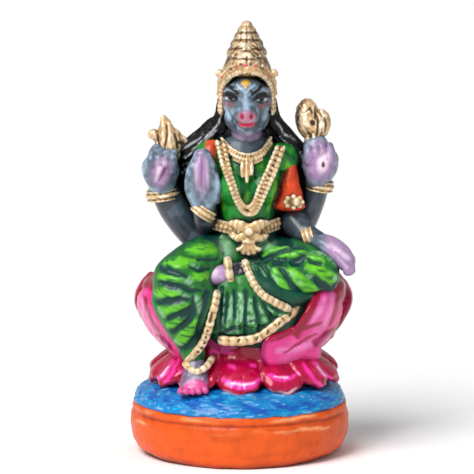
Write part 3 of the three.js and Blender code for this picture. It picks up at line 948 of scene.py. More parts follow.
# Both legs; a row is x, y, z, half width, half depth
RIGHT_THIGH = [(-5, 2, 92, 14, 13), (-18, -12, 91.5, 13.2, 12.4), (-28, -23, 86, 12.6, 12.6)]
RIGHT_SHIN = [
    (-27.5, -24.5, 85, 13.4, 12.6),
    (-26, -24.5, 76, 15.2, 12.2),
    (-24.6, -22.5, 64, 11, 10.8),
    (-23, -22, 55, 6.8, 7.4),
    (-20.6, -23, 46, 5.2, 5.2),
]
LEFT_THIGH = [(12, 2, 92, 13, 12), (26, -7, 92, 11.2, 10.2), (38.5, -12, 88.5, 9.4, 9.4)]
LEFT_SHIN = [
    (39, -13, 86, 9, 9),
    (28, -17, 84.5, 9, 9),
    (15, -16.5, 86.5, 7.4, 7.8),
    (6, -15, 88.5, 4.8, 5.2),
]

# Strokes on the cloth, at the depths of its parts; a point is x, y and half width in the front view
RIGHT_KNEE_Y, RIGHT_THIGH_Y, LEFT_KNEE_Y, FAN_Y = -29, -20, -19, -27
FOLDS = from_front(RIGHT_KNEE_Y, [
    [(81, 133.5, 1), (85, 134.2, 1.6), (90, 135.2, 1.2), (94, 137, 0.5)],
    [(81, 140.2, 1.1), (86, 141.2, 1.8), (91, 142, 1.3), (97, 144, 0.8), (101, 144, 0.4)],
    [(79, 150.2, 1), (85, 149, 1.8), (90, 148.2, 1.6), (95, 147.8, 0.8)],
    [(84, 158, 0.8), (88, 156.5, 1.3), (92, 155, 1.7), (96, 152, 1.4)],
    [(87, 165, 0.8), (91, 162, 1.3), (95, 158.5, 1.6), (97.5, 153, 1.5), (97.5, 147, 1)],
    [(91, 174, 1), (96, 172, 1.5), (99, 167, 1.5), (100.5, 160, 1.1), (102.5, 153, 1.4), (104, 145, 1.5)],
]) + from_front(RIGHT_THIGH_Y, [
    [(103, 118.5, 1.4), (108, 119.4, 2), (111, 123, 1.1), (112.5, 127, 0.8)],
    [(96, 131, 0.5), (100, 132.8, 0.8), (105, 133.2, 0.6)],
    [(99, 128, 0.4), (105, 128.9, 0.6), (109, 128.9, 0.5)],
]) + from_front(LEFT_KNEE_Y, [
    [(126, 128, 2.2), (128.6, 130.4, 1.5), (131, 131.6, 0.9)],
    [(131, 131.2, 0.8), (136, 128.6, 0.9), (140, 126.6, 0.9), (146, 124.9, 0.6)],
    [(137, 131.4, 1.2), (140, 130.8, 1.2), (143, 129.8, 0.5)],
    [(146, 131.2, 1.2), (149, 130.4, 1.7), (152, 128.4, 0.9)],
    [(151, 128.6, 0.5), (155, 130.3, 0.6), (160, 131.2, 0.7)],
    [(132, 133, 0.9), (134.5, 138, 1.3), (137, 143, 1.3), (140, 147, 1.5)],
    [(140, 133.5, 0.8), (143, 137, 1.1), (146, 141, 1.3), (149, 145, 1.6)],
    [(156.4, 137.6, 1), (158.6, 139.6, 1.6), (161, 142, 1.7), (164, 143.4, 1)],
    [(142, 149, 2), (148, 148.6, 2.6), (158, 147, 1.4),
     (166, 144.6, 1.3), (170.4, 140, 1.4), (170, 134, 1.2)],
    [(136, 121, 2.2), (142, 121, 2.2), (147, 123.8, 0.9), (151, 124.2, 0.7)],
    [(128, 133, 0.6), (130.4, 138, 0.9), (133, 142, 0.8)],
])
LOBES = from_front(RIGHT_KNEE_Y, [
    [(84, 131.8, 1.2), (90, 130.8, 2.2), (97, 130.4, 1.2)],
    [(81.5, 137.6, 1.6), (86, 138, 1.8), (90, 138.4, 1.2)],
    [(80, 145.5, 2), (86, 145, 2.4), (90, 145.4, 1.2)],
    [(82, 154, 2), (87, 152.6, 1.6), (93, 151, 1.6)],
    [(85.5, 161.4, 1.6), (91, 158.6, 1.2)],
    [(90, 170, 2.2), (94, 165, 2.6), (98, 159, 1.4)],
]) + from_front(RIGHT_THIGH_Y, [
    [(95, 124.3, 1.4), (104, 124.2, 1.8), (108, 125.4, 0.8)],
    [(97, 135.7, 1.6), (103, 136.3, 1.6)],
]) + from_front(LEFT_KNEE_Y, [
    [(132, 129.6, 0.9), (136, 126.8, 1.3), (140, 125.1, 1.1), (144, 124.4, 0.4)],
    [(140, 129.3, 0.8), (145, 127.4, 1.4), (150, 126.2, 1.3), (152, 127, 0.6)],
    [(153, 129.3, 1), (158, 129, 1.2), (161.4, 130, 0.9)],
    [(137, 134, 1), (139, 138, 2), (142, 143, 2), (143.4, 146, 1)],
    [(145, 134, 1.2), (149, 138, 2.4), (153, 141.6, 2.4), (158, 143.4, 1.4)],
    [(153, 132.6, 1), (159, 134, 2.2), (162, 137, 2.4), (166, 139, 2.4)],
])
PALES = from_front(RIGHT_KNEE_Y, [
    [(91, 138.2, 0.8), (95, 139.4, 1.4), (96, 141, 0.8)],
    [(89.5, 143.6, 0.6), (92, 145.6, 1.2), (95, 147, 0.8)],
    [(98.6, 146.4, 0.8), (100.6, 149.6, 1.5), (100, 154.6, 1)],
    [(81, 153, 1), (82, 156, 1.4)],
    [(88, 169, 0.8), (91, 171.6, 1)],
]) + from_front(RIGHT_THIGH_Y, [
    [(96.6, 130, 0.6), (99.4, 130.9, 0.6)],
    [(111.5, 120, 1.2), (114, 124, 2)],
]) + from_front(LEFT_KNEE_Y, [
    [(136.4, 136, 0.8), (138.6, 140, 1)],
    [(145.4, 136.4, 1), (149.6, 140, 1.2)],
    [(151.4, 135.2, 0.6), (156, 137.6, 0.9)],
    [(155, 126.4, 0.6), (162, 127.4, 0.8), (166, 130, 0.9), (168.4, 133.4, 0.7)],
    [(165, 136.4, 1.2), (167, 139.4, 1.4)],
    [(130.6, 121.4, 1.8), (133.6, 121.6, 1.8)],
    [(131, 136, 0.7), (133.5, 140, 0.9), (136.2, 144.4, 0.8)],
])


def make_skirt(sizes):
    """The cloth over both legs, with folds that run together at each lap foot."""
    clay = Clay()
    clay.limb(RIGHT_THIGH, face=UP)
    clay.limb(RIGHT_SHIN)
    clay.limb(LEFT_THIGH, face=UP)
    clay.limb(LEFT_SHIN, face=UP)
    lap = [(MID, 3, 84, 18, 12.5), (MID, 2, 92, 17, 12.5), (MID, 2, 101, 15, 11.5)]
    clay.limb(lap)
    skin = Skin(clay, sizes.voxel * 0.92, 2)
    p = skin.places.copy()
    front = smooth(0.45, 0.0, skin.normals[:, 1])
    relief = 0.5 * brushed(p, LOBES, 1.2) - brushed(p, FOLDS, 1.1)
    skin.push(sizes.cloth_fold / MM * relief * front + 0.1 * ripple(p, 5, 52))
    # Painted shade on the surfaces that turn away to the sides and back.
    edge = smooth(-0.45, 0.2, skin.normals[:, 1] + 0.15 * ripple(p, 6, 56)) * 0.9
    grain = ripple(p, 3, 54, (0.5, 1, 1.6))
    # The raised lobes in yellow green, partly the cloth's own paint and partly painted highlight; the pale
    # strokes are painted highlights.
    light = brushed(p, LOBES, 1.2, 1.15) * smooth(-1.5, 0.1, grain)
    pale = brushed(p, PALES, 0.8) * smooth(-1.0, 0.6, ripple(p, 3, 55)) * 0.6
    grey = most(dab(p, -5.8, 99.0, 2.6, 4.2, 20, 0.9), dab(p, 12.2, 101.2, 3.4, 2.6, 0, 0.9)) * 0.6
    shade = smooth(-0.1, 1.0, ripple(p, 6, 53)) * 0.55
    # The dark strokes in the folds are partly the cloth's own paint and partly painted shade in the grooves;
    # random darker patches between them.
    dark = most(brushed(p, FOLDS, 0.7, 1.3), shade * (1 - light))
    skin.paint(
        light=light * front,
        pale=most(pale, grey) * front,
        dark=most(dark * front * (1 - pale) * (1 - 0.8 * grey), edge),
    )
    coats = [
        ("light", "cloth_light", 0.4, 0),
        ("dark", "cloth_dark", 0.42, 0),
        ("pale", "cloth_pale", 0.4, 0),
    ]
    paint = finish(
        "Green cloth paint", "cloth", coats, painted_shade="cloth_dark", rough=0.4, mottle=0.18, gloss=0.12, shine=0.3
    )
    skin.cast("skirt", "cloth_green", paint)


PLEAT_LINES = from_front(FAN_Y, [
    [(111, 144, 0.8), (110.5, 152, 1), (110.4, 160, 1.2), (110.8, 167, 1.4)],
    [(114, 146, 0.5), (113, 153, 0.8), (112.4, 160, 0.8)],
    [(117.6, 145, 0.9), (117.6, 152, 0.9), (117.8, 158, 0.6)],
    [(123, 145, 0.9), (123, 152, 0.9), (123, 160, 0.8), (122.8, 167, 0.7)],
    [(127.6, 148, 0.7), (128.4, 154, 0.8), (129.4, 160, 0.9), (130, 166, 0.7)],
    [(131, 150, 0.6), (134, 155, 0.9), (136, 160, 0.7)],
    [(136, 153, 0.6), (140, 156, 0.9)],
    [(112, 164.6, 1.4), (117, 163.6, 1.3), (121, 162.8, 1)],
    [(124, 160.6, 0.6), (129, 159, 0.8)],
])
PLEAT_CRESTS = [
    [(-7.4, 77, 0.5), (-8.0, 70, 0.7), (-8.0, 63.4, 0.6)],
    [(-5.6, 70, 0.4), (-5.8, 64.2, 0.6)],
    [(-1.0, 74, 0.4), (-1.0, 68, 0.6), (-1.0, 61.6, 0.5)],
    [(3.8, 77, 0.4), (4.3, 70, 0.6), (4.6, 62.4, 0.6)],
    [(7.4, 66, 0.5), (8.0, 61.6, 0.6)],
    [(11.6, 68, 0.6), (12.6, 64.6, 0.7)],
    [(17.0, 71.4, 0.5), (19.6, 69.4, 0.6)],
] + from_front(FAN_Y, [
    [(116, 148, 0.9), (115.4, 154, 1.4), (115, 160, 1.2)],
    [(120.6, 147, 0.8), (120.6, 154, 1.2), (120.4, 161, 0.9)],
    [(125.6, 150, 0.7), (126, 156, 1.1), (127, 164, 1)],
    [(129.6, 152, 0.8), (131.6, 156, 1)],
    [(134, 153.6, 0.6), (137, 156, 0.8)],
])


def make_fan(sizes):
    """The skirt's pleated fan between the legs, and the cloth that bellies below it."""
    clay = Clay("belly")
    face = unit(np.array([0.1, -1.0, 0.0]))
    fan = [
        [(-3, -18, 88, 7, 3.6), (-3.5, -21.5, 80, 8.5, 5), (-3.5, -23.5, 70, 10, 5.4),
         (-4, -24, 61, 10.5, 4.6)],
        [(1, -19, 86, 4, 3.4), (6, -22, 76, 6.5, 4.6), (9, -23.5, 65, 7.5, 4.6)],
        [(4, -20, 84, 3, 3.2), (13, -23.5, 75, 5, 4.2), (22, -23, 70.5, 4.2, 4)],
        [(2, -19.5, 86, 7, 4.2), (4, -23, 76, 11, 4.6), (6, -23.6, 66, 12, 4.4)],
    ]
    for part in fan:
        clay.limb(part, face=face, ends=0.4, sides=60, rings=50, belly=0)
    bellies = [
        [(-8, -18.5, 61.5, 7.5, 7.5), (8, -18.6, 60, 8.5, 8.5), (18, -18.4, 64, 8.5, 8.5),
         (25.6, -17.4, 71, 6.4, 7)],
        [(8, -17.5, 84, 6, 7.5), (16, -19.6, 79.5, 6.4, 7.5), (24, -19.4, 77, 5.4, 7.5),
         (31, -17, 77.4, 4, 7)],
    ]
    for part in bellies:
        clay.limb(part, belly=1)
    skin = Skin(clay, sizes.fine_voxel * 1.08, 1)
    p = skin.places.copy()
    ahead = smooth(-15, -19, p[:, 1])
    relief = 0.6 * brushed(p, PLEAT_CRESTS, 0.9) - brushed(p, PLEAT_LINES, 0.7)
    skin.push(sizes.pleat / MM * relief * ahead + 0.08 * ripple(p, 4, 62))
    # Painted shade under the fan's hem and on the cloth that bellies below it.
    hem_x = [-9, 4, 10, 14, 20, 28]
    hem_z = [57, 57, 58.6, 62, 66.4, 75]
    under = smooth(2.0, -1.0, p[:, 2] - np.interp(p[:, 0], hem_x, hem_z))
    shade_under_hem = most(under, skin.masks["belly"])
    # Painted shade in the grooves between the pleats, under the hem and in random patches; painted highlights
    # on the pleats' crests.
    dark = most(brushed(p, PLEAT_LINES, 0.6, 1.1), shade_under_hem * 0.85, smooth(0.1, 1.0, ripple(p, 5, 63)) * 0.35)
    light = brushed(p, PLEAT_CRESTS, 0.9, 1.1) * smooth(-1.4, 0.3, ripple(p, 3, 64)) * 0.85
    # Painted shade on the surfaces that turn away to the sides and back.
    edge = smooth(-0.4, 0.2, skin.normals[:, 1]) * 0.8
    skin.paint(light=light * ahead * (1 - shade_under_hem), dark=most(dark * (1 - light * 0.8), edge))
    coats = [("light", "cloth_pale", 0.38, 0), ("dark", "cloth_dark", 0.42, 0)]
    paint = finish(
        "Pleated cloth paint", "cloth", coats, painted_shade="cloth_dark", rough=0.4, mottle=0.2, gloss=0.12, shine=0.3
    )
    skin.cast("fan", "cloth_green", paint)


def make_blouse(sizes):
    """The bodice, green with a dark stripe, and the orange sleeve and shoulder."""
    clay = Clay("orange")
    clay.limb(
        [(MID, 3, 96, 16.6, 12.6), (MID, 3, 107, 13.2, 11), (MID, 3, 119, 14, 11.5), (MID, 4, 132, 17, 12),
         (MID, 6, 142, 14, 9.6)],
        sides=56,
        orange=0,
    )
    for x in (MID - 6.6, MID + 7.4):
        clay.blob((x, -4.5, 126.5), (7.6, 7.2, 8), orange=0)
    clay.blob((MID - 16.5, 6, 140.5), (8, 8, 8), orange=0)
    clay.blob((MID + 16.5, 6, 139), (8, 8, 8), orange=0)
    sleeve = [(24.2, 6, 135.5, 2.8, 6), (23.4, 4, 126, 5.4, 8.4), (23.0, 3, 117, 8.2, 8.4)]
    clay.limb(sleeve, ends=0.35, orange=1)
    flank = [(-13, 8, 130, 6, 6.4), (-13.4, 8, 118, 6, 6.2), (-13, 8, 107, 6.5, 6.5)]
    clay.limb(flank, orange=0)
    skin = Skin(clay, sizes.voxel, 2)
    p = skin.places
    skin.push(0.12 * ripple(p, 5, 71))
    orange = most(skin.masks["orange"], dab(p, -13.4, 146, 2.8, 2.8, 0, 0.4))
    orange = most(orange, stroke(p, [(-13.6, 145.6, 2.2), (-13.2, 141, 1.7), (-12.2, 136.4, 0.9)], 0.4))
    # Painted shade: dark strokes along the bodice's folds and edges.
    shade_strokes = [
        [(0.4, 140.4, 0.7), (0.0, 133, 0.9), (1.4, 124, 0.7)],
        [(6.8, 139, 0.5), (7.8, 131, 0.7), (6.4, 122.6, 0.5)],
        [(-12, 126, 1.2), (-10.4, 117, 1.6), (-8.6, 110, 1.8)],
        [(18.4, 128, 0.9), (16.4, 118, 1.2), (15.4, 110, 1.4)],
        [(-3, 112, 1.3), (4, 110.6, 1.5), (11.6, 112, 1.2)],
        [(20, 144.4, 0.6), (25.6, 139.6, 0.8)],
    ]
    # Painted highlights in pale green.
    lights = [
        [(3.4, 124.6, 1.2), (3.0, 119.8, 1.0)],
        [(4.8, 140, 0.7), (4.6, 134, 0.8)],
        [(20.4, 141, 1.0), (22.6, 136.4, 1.2), (20.6, 131, 0.8)],
        [(17.0, 131, 0.7), (15.4, 123.6, 0.8), (13.4, 116.4, 0.6)],
        [(-9.4, 124, 0.6), (-7.4, 116.4, 0.7)],
        [(10.0, 138.4, 0.6), (11.4, 133, 0.7)],
    ]
    # Painted shade at the waist and on the surfaces that turn away; random darker patches.
    shade_low = smooth(112, 104, p[:, 2]) * 0.9
    side = smooth(-0.3, 0.3, skin.normals[:, 1])
    light = most(brushed(p, lights, 0.8) * 0.85, smooth(0.3, 1.1, ripple(p, 5, 72)) * 0.3)
    shade = smooth(0.1, 1.0, ripple(p, 5, 73)) * 0.4
    strokes = brushed(p, shade_strokes, 0.8) * 0.85
    # Painted shade in brown at the sleeve's edges and foot, with random streaks.
    sleeve_shade = most(
        stroke(p, [(15.4, 114, 0.6), (18, 122, 0.5), (22, 134, 0.4)], 0.9),
        stroke(p, [(16, 112.4, 0.7), (24, 110.6, 1.0), (30.6, 112.6, 0.8)], 0.9),
        smooth(0.2, 1.1, ripple(p, 3.4, 74, (1, 1, 0.4))) * 0.35,
    )
    green_dark = most(shade_low, shade, strokes) * (1 - orange)
    skin.paint(
        light=light * (1 - shade) * (1 - strokes),
        orange=orange,
        dark=most(green_dark, side * 0.9, sleeve_shade * orange * 0.35),
        chest=dab(p, MID, 147, 11.4, 6.4, 0, 0.16) * (1 - orange),
    )
    coats = [
        ("light", "cloth_light", 0.36, 0),
        ("orange", "sleeve", 0.36, 0),
        ("dark", "cloth_dark", 0.4, 0),
        ("chest", "skin", 0.4, 0),
    ]
    paint = finish("Blouse paint", "bodice", coats, rough=0.38, mottle=0.2, gloss=0.15, shine=0.3)
    skin.cast("blouse", "blouse", paint)


SKIN_COATS = [
    ("light", "skin_light", 0.34, 0),
    ("dark", "skin_dark", 0.34, 0),
    ("palm", "palm", 0.4, 0),
    ("pink", "petal", 0.34, 0),
    ("palm_light", "palm_light", 0.38, 0),
    ("palm_mark", "palm_mark", 0.4, 0),
    ("gold_dot", "gold_shade", 0.4, 0.3),
    ("back", "back_blue", 0.3, 0),
    ("back_deep", "water", 0.3, 0),
]


def make_skin_piece(name, clay, voxel, brush=None, soften=1, deep=0.0):
    """A part of the body in blue-grey skin, with mauve where the brush says.
    Deep is the share of dark paint all over it."""
    skin = Skin(clay, voxel, soften)
    p = skin.places
    strokes = smooth(0.25, 1.1, ripple(p, 5, 81, (1, 1, 0.5))) * 0.4
    # Painted shade on the surfaces that turn away to the sides and back.
    side = smooth(-0.5, 0.3, skin.normals[:, 1] + 0.2 * ripple(p, 6, 82))
    back = most(smooth(BACK_Y - 5, BACK_Y - 2, p[:, 1]), smooth(0.3, 0.6, skin.normals[:, 1]))
    masks = {mask: np.zeros(len(p)) for mask, *_ in SKIN_COATS}
    masks["light"] = strokes * (1 - 0.6 * deep)
    masks["dark"] = most(side, deep * (1 - 0.5 * strokes))
    masks["back"] = back
    masks["back_deep"] = back * smooth(0.5, 1.2, ripple(p, 7, 88)) * 0.55
    if brush is not None:
        masks.update(brush(p, skin))
    skin.paint(**masks)
    paint = finish(f"Skin paint of {name}", "skin", SKIN_COATS, painted_shade="skin_dark", rough=0.34)
    skin.cast(name, "skin_grey", paint)


def make_arms(sizes):
    """The four arms, without the hands, in the darker paint of the limbs."""
    clay = Clay()
    arms = [
        [(-15, 13, 94, 6.5, 8), (-24, 13, 104, 7, 8.4), (-31.4, 12.5, 114.5, 7.2, 9),
         (-36.2, 11, 125, 6.8, 8.6)],
        [(22, 13, 96, 7, 8), (29.5, 13, 107, 6.6, 8.4), (35, 12.5, 118, 5.6, 8.6), (37.6, 11, 128, 5.4, 8)],
        [(26, 5, 109, 7, 7), (31, 0, 103.5, 6, 6), (37, -6, 101, 5, 4.6)],
        [(-13, 8, 107, 6.5, 6.5), (-16, 0, 111, 5.6, 5.6), (-17, -4.5, 116, 5.2, 5)],
    ]
    for arm in arms:
        clay.limb(arm)
    make_skin_piece("arms", clay, sizes.voxel * 1.15, deep=0.62)


FINGERS = 4
PALM_X = -17.5  # the middle of the raised palm
RAISED_FINGERS = [(-22.4, 139), (-19.4, 143.4), (-15.9, 144), (-12.8, 141)]  # each is x and the tip's z


def make_hands(sizes):
    """Two hands behind that hold the emblems, one raised palm, and one laid on the knee."""
    clay = Clay()
    clay.blob((-37.4, 8, 134), (9, 9.6, 7.6))
    clay.limb([(-36.8, 9, 126, 6.6, 8.4), (-37.2, 8, 133, 9, 9), (-36.6, 8, 140, 6.6, 7)], sides=48)
    clay.limb([(37, 9, 128.4, 6, 8), (37.8, 8, 136, 9, 9), (36, 8, 144.4, 6.2, 6.6)], sides=48)
    clay.blob((38, 8, 138), (9, 9.4, 7))
    for finger in range(FINGERS):
        x = -42 + 3.4 * finger
        right = [(x, 2.2, 134, 2.4, 3), (x + 0.3, 1.4, 138.4, 2.3, 3), (x + 0.9, 4, 142, 1.9, 2.4)]
        x = 32.8 + 3.5 * finger
        left = [(x, 2.4, 138.4, 2.4, 3), (x - 0.2, 1.8, 141.8, 2.3, 3), (x - 0.8, 4.4, 145.2, 1.8, 2.4)]
        clay.limb(right, rings=30)
        clay.limb(left, rings=30)
    clay.limb(
        [(-16.8, -5, 117, 5.4, 4), (PALM_X, -6, 126, 8.4, 5), (PALM_X, -6.4, 135, 7.6, 4.6),
         (PALM_X, -5.6, 142, 4.4, 3.4)]
    )
    for x, top in RAISED_FINGERS:
        start = PALM_X + 0.86 * (x - PALM_X)
        tip = x * 0.5 - 8.8
        raised = [(start, -6.6, 129, 2.2, 3.2), (x, -6.8, 136.5, 2.1, 3), (tip, -5.6, top, 1.7, 2.2)]
        clay.limb(raised, rings=36)
    clay.limb([(-11, -6, 121, 2.2, 2.6), (-9.9, -7.4, 127, 2, 2.4), (-11, -7.6, 132, 1.6, 2)], rings=30)
    clay.limb(
        [(36, -6, 101.4, 4.6, 4), (42, -9, 99.6, 7, 4.8), (47, -11, 96, 7.4, 5), (50, -12, 92.6, 7, 4.4)],
        face=UP,
    )
    for finger in range(FINGERS):
        y = -17.4 + 3.9 * finger
        laid = [(46, y * 0.8 - 2.5, 97, 2.2, 3.4), (50.4, y, 93, 2.2, 3.4), (51.6, y, 88.6, 2, 3)]
        clay.limb(laid, face=UP, rings=36)

    def brush(p, skin):
        front = smooth(0.25, -0.35, skin.normals[:, 1])
        right_outer = dab(p, -37.0, 133.4, 4.8, 7.0, -8, 0.5) * front
        left_outer = dab(p, 38.0, 138.2, 7.2, 9.6, 0, 0.35) * front
        raised = dab(p, -17.9, 134.6, 3.2, 9.4, 3, 0.55) * front
        knee = smooth(38, 42, p[:, 0]) * smooth(112, 104, p[:, 2]) * smooth(0.4, -0.2, skin.normals[:, 1])
        rims = most(
            (dab(p, -37.4, 133.2, 9.2, 11, 0, 0.12) - dab(p, -37.4, 133.4, 7.4, 9.2, 0, 0.3)),
            (dab(p, 37.8, 138, 9, 11, 0, 0.12) - dab(p, 38, 138.2, 7.2, 9.2, 0, 0.3)) * 0.7,
            (dab(p, -17.6, 131.4, 8.4, 15, 0, 0.12) - dab(p, -17.6, 132.6, 5.6, 12, 0, 0.4)),
        )
        light = most(
            stroke(p, [(-39.6, 129.5, 0.5), (-37.8, 135.6, 1.1)], 0.9) * right_outer * 0.8,
            dab(p, -36.0, 138.0, 2.0, 1.2, 0, 0.8) * right_outer * 0.5,
            dab(p, 39.4, 138.2, 2.6, 5, -14, 0.5) * left_outer,
            stroke(p, [(-20.6, 126, 0.7), (-20.8, 138, 0.9)], 0.8) * raised * 0.6,
            stroke(p, [(-14.8, 127, 0.6), (-15.2, 140, 0.8)], 0.8) * raised * 0.5,
            stroke(p, [(43, 101, 1.0), (50.6, 95.6, 1.2)], 1.2) * knee * 0.45,
            stroke(p, [(45, 97, 0.5), (50.4, 91, 0.6)], 0.7) * knee * 0.35,
        )
        mark = most(
            stroke(p, [(44.4, 98.6, 0.3), (51, 92.4, 0.5)], 0.7) * knee * 0.35,
            stroke(p, [(-38.0, 129.4, 0.3), (-35.2, 135, 0.9)], 0.7) * right_outer,
            stroke(p, [(-18.0, 128, 0.3), (-17.8, 141, 0.7)], 0.8) * raised * 0.7,
            dab(p, 39.8, 143.4, 1.4, 2.6, -30, 0.6) * left_outer * 0.5,
        )
        return {
            "palm": most(right_outer * 0.9, left_outer * 0.85, raised * 0.9, knee * 0.85),
            # Painted shade on the surfaces that turn away, under the hand on the knee, and in random patches.
            "dark": most(
                smooth(-0.3, 0.4, skin.normals[:, 1]),
                smooth(0.5, 1.3, ripple(p, 4, 87)) * 0.35,
                smooth(0.3, -0.6, skin.normals[:, 2]) * knee * 0.6,
            ),
            "palm_light": light,
            "palm_mark": mark,
            "gold_dot": dab(p, 39.4, 137, 0.8, 1.5, 0, 0.5) * left_outer,
            "light": most(
                rims * smooth(0.5, -0.1, skin.normals[:, 1]) * smooth(-1.0, 0.6, ripple(p, 5, 86)) * 0.85,
                smooth(0.2, 1, ripple(p, 5, 83)) * 0.4,
            ),
        }

    make_skin_piece("hands", clay, sizes.fine_voxel * 1.08, brush=brush, soften=2)


def make_feet(sizes):
    """The right foot on the lotus, and the left foot across the lap."""
    clay = Clay()
    clay.limb(
        [(-20.6, -23.5, 46, 5, 5), (-20.8, -28, 41.5, 6, 4.4), (-21.3, -33, 37.5, 6.8, 3.4),
         (-21.6, -35, 36, 6.4, 2.6)],
        face=UP,
    )
    for toe in range(5):
        across = toe - 2
        clay.blob((-21.8 + 2.9 * across, -37 + 0.35 * across**2, 35), (1.6, 2.6, 1.8))
    clay.limb(
        [(6, -15, 88.5, 4.4, 4.6), (-3, -18, 88.6, 4.6, 4.6), (-9, -20.6, 87.8, 4.8, 4.8),
         (-12.4, -22, 87.2, 4, 4.6)],
        face=UP,
    )
    clay.blob((-11.4, -22, 87.4), (4.6, 3.4, 4.8), lean=16)

    def brush(p, skin):
        lap = smooth(66, 72, p[:, 2])
        toes = smooth(-34, -36, p[:, 1]) * (1 - lap)
        # Painted shadow where the lap foot goes in under the skirt at the ankle.
        gap = lap * smooth(-5.4, -4.0, p[:, 0])
        speckle = smooth(0.4, 1.2, ripple(p, 1.6, 85)) * (1 - lap) * 0.7
        # Painted shade on the insteps and under the lap foot.
        insteps = most(dab(p, -25.4, 41, 2.4, 5, 20, 0.7), dab(p, -16.4, 40.4, 2.2, 5, -20, 0.7))
        shade = insteps * (1 - lap) * 0.7
        shade_under_foot = lap * stroke(p, [(-14.6, 83.4, 0.8), (-9.4, 83, 1.0)], 0.8) * 0.6
        heel = dab(p, -12.8, 89, 2.8, 2.2, 20, 0.8) * 0.7
        return {
            "palm": np.where(lap > 0.5, 0.95 * (1 - gap), 0.3),
            "pink": toes * 0.75,
            "palm_light": most(smooth(0.5, 1.3, ripple(p, 2.0, 84)) * 0.35, heel),
            # Painted shade on the surfaces that turn away, with random speckles.
            "dark": most(smooth(0.0, 0.8, skin.normals[:, 1]), gap * 0.95, speckle, shade, shade_under_foot),
        }

    make_skin_piece("feet", clay, sizes.fine_voxel, brush=brush)


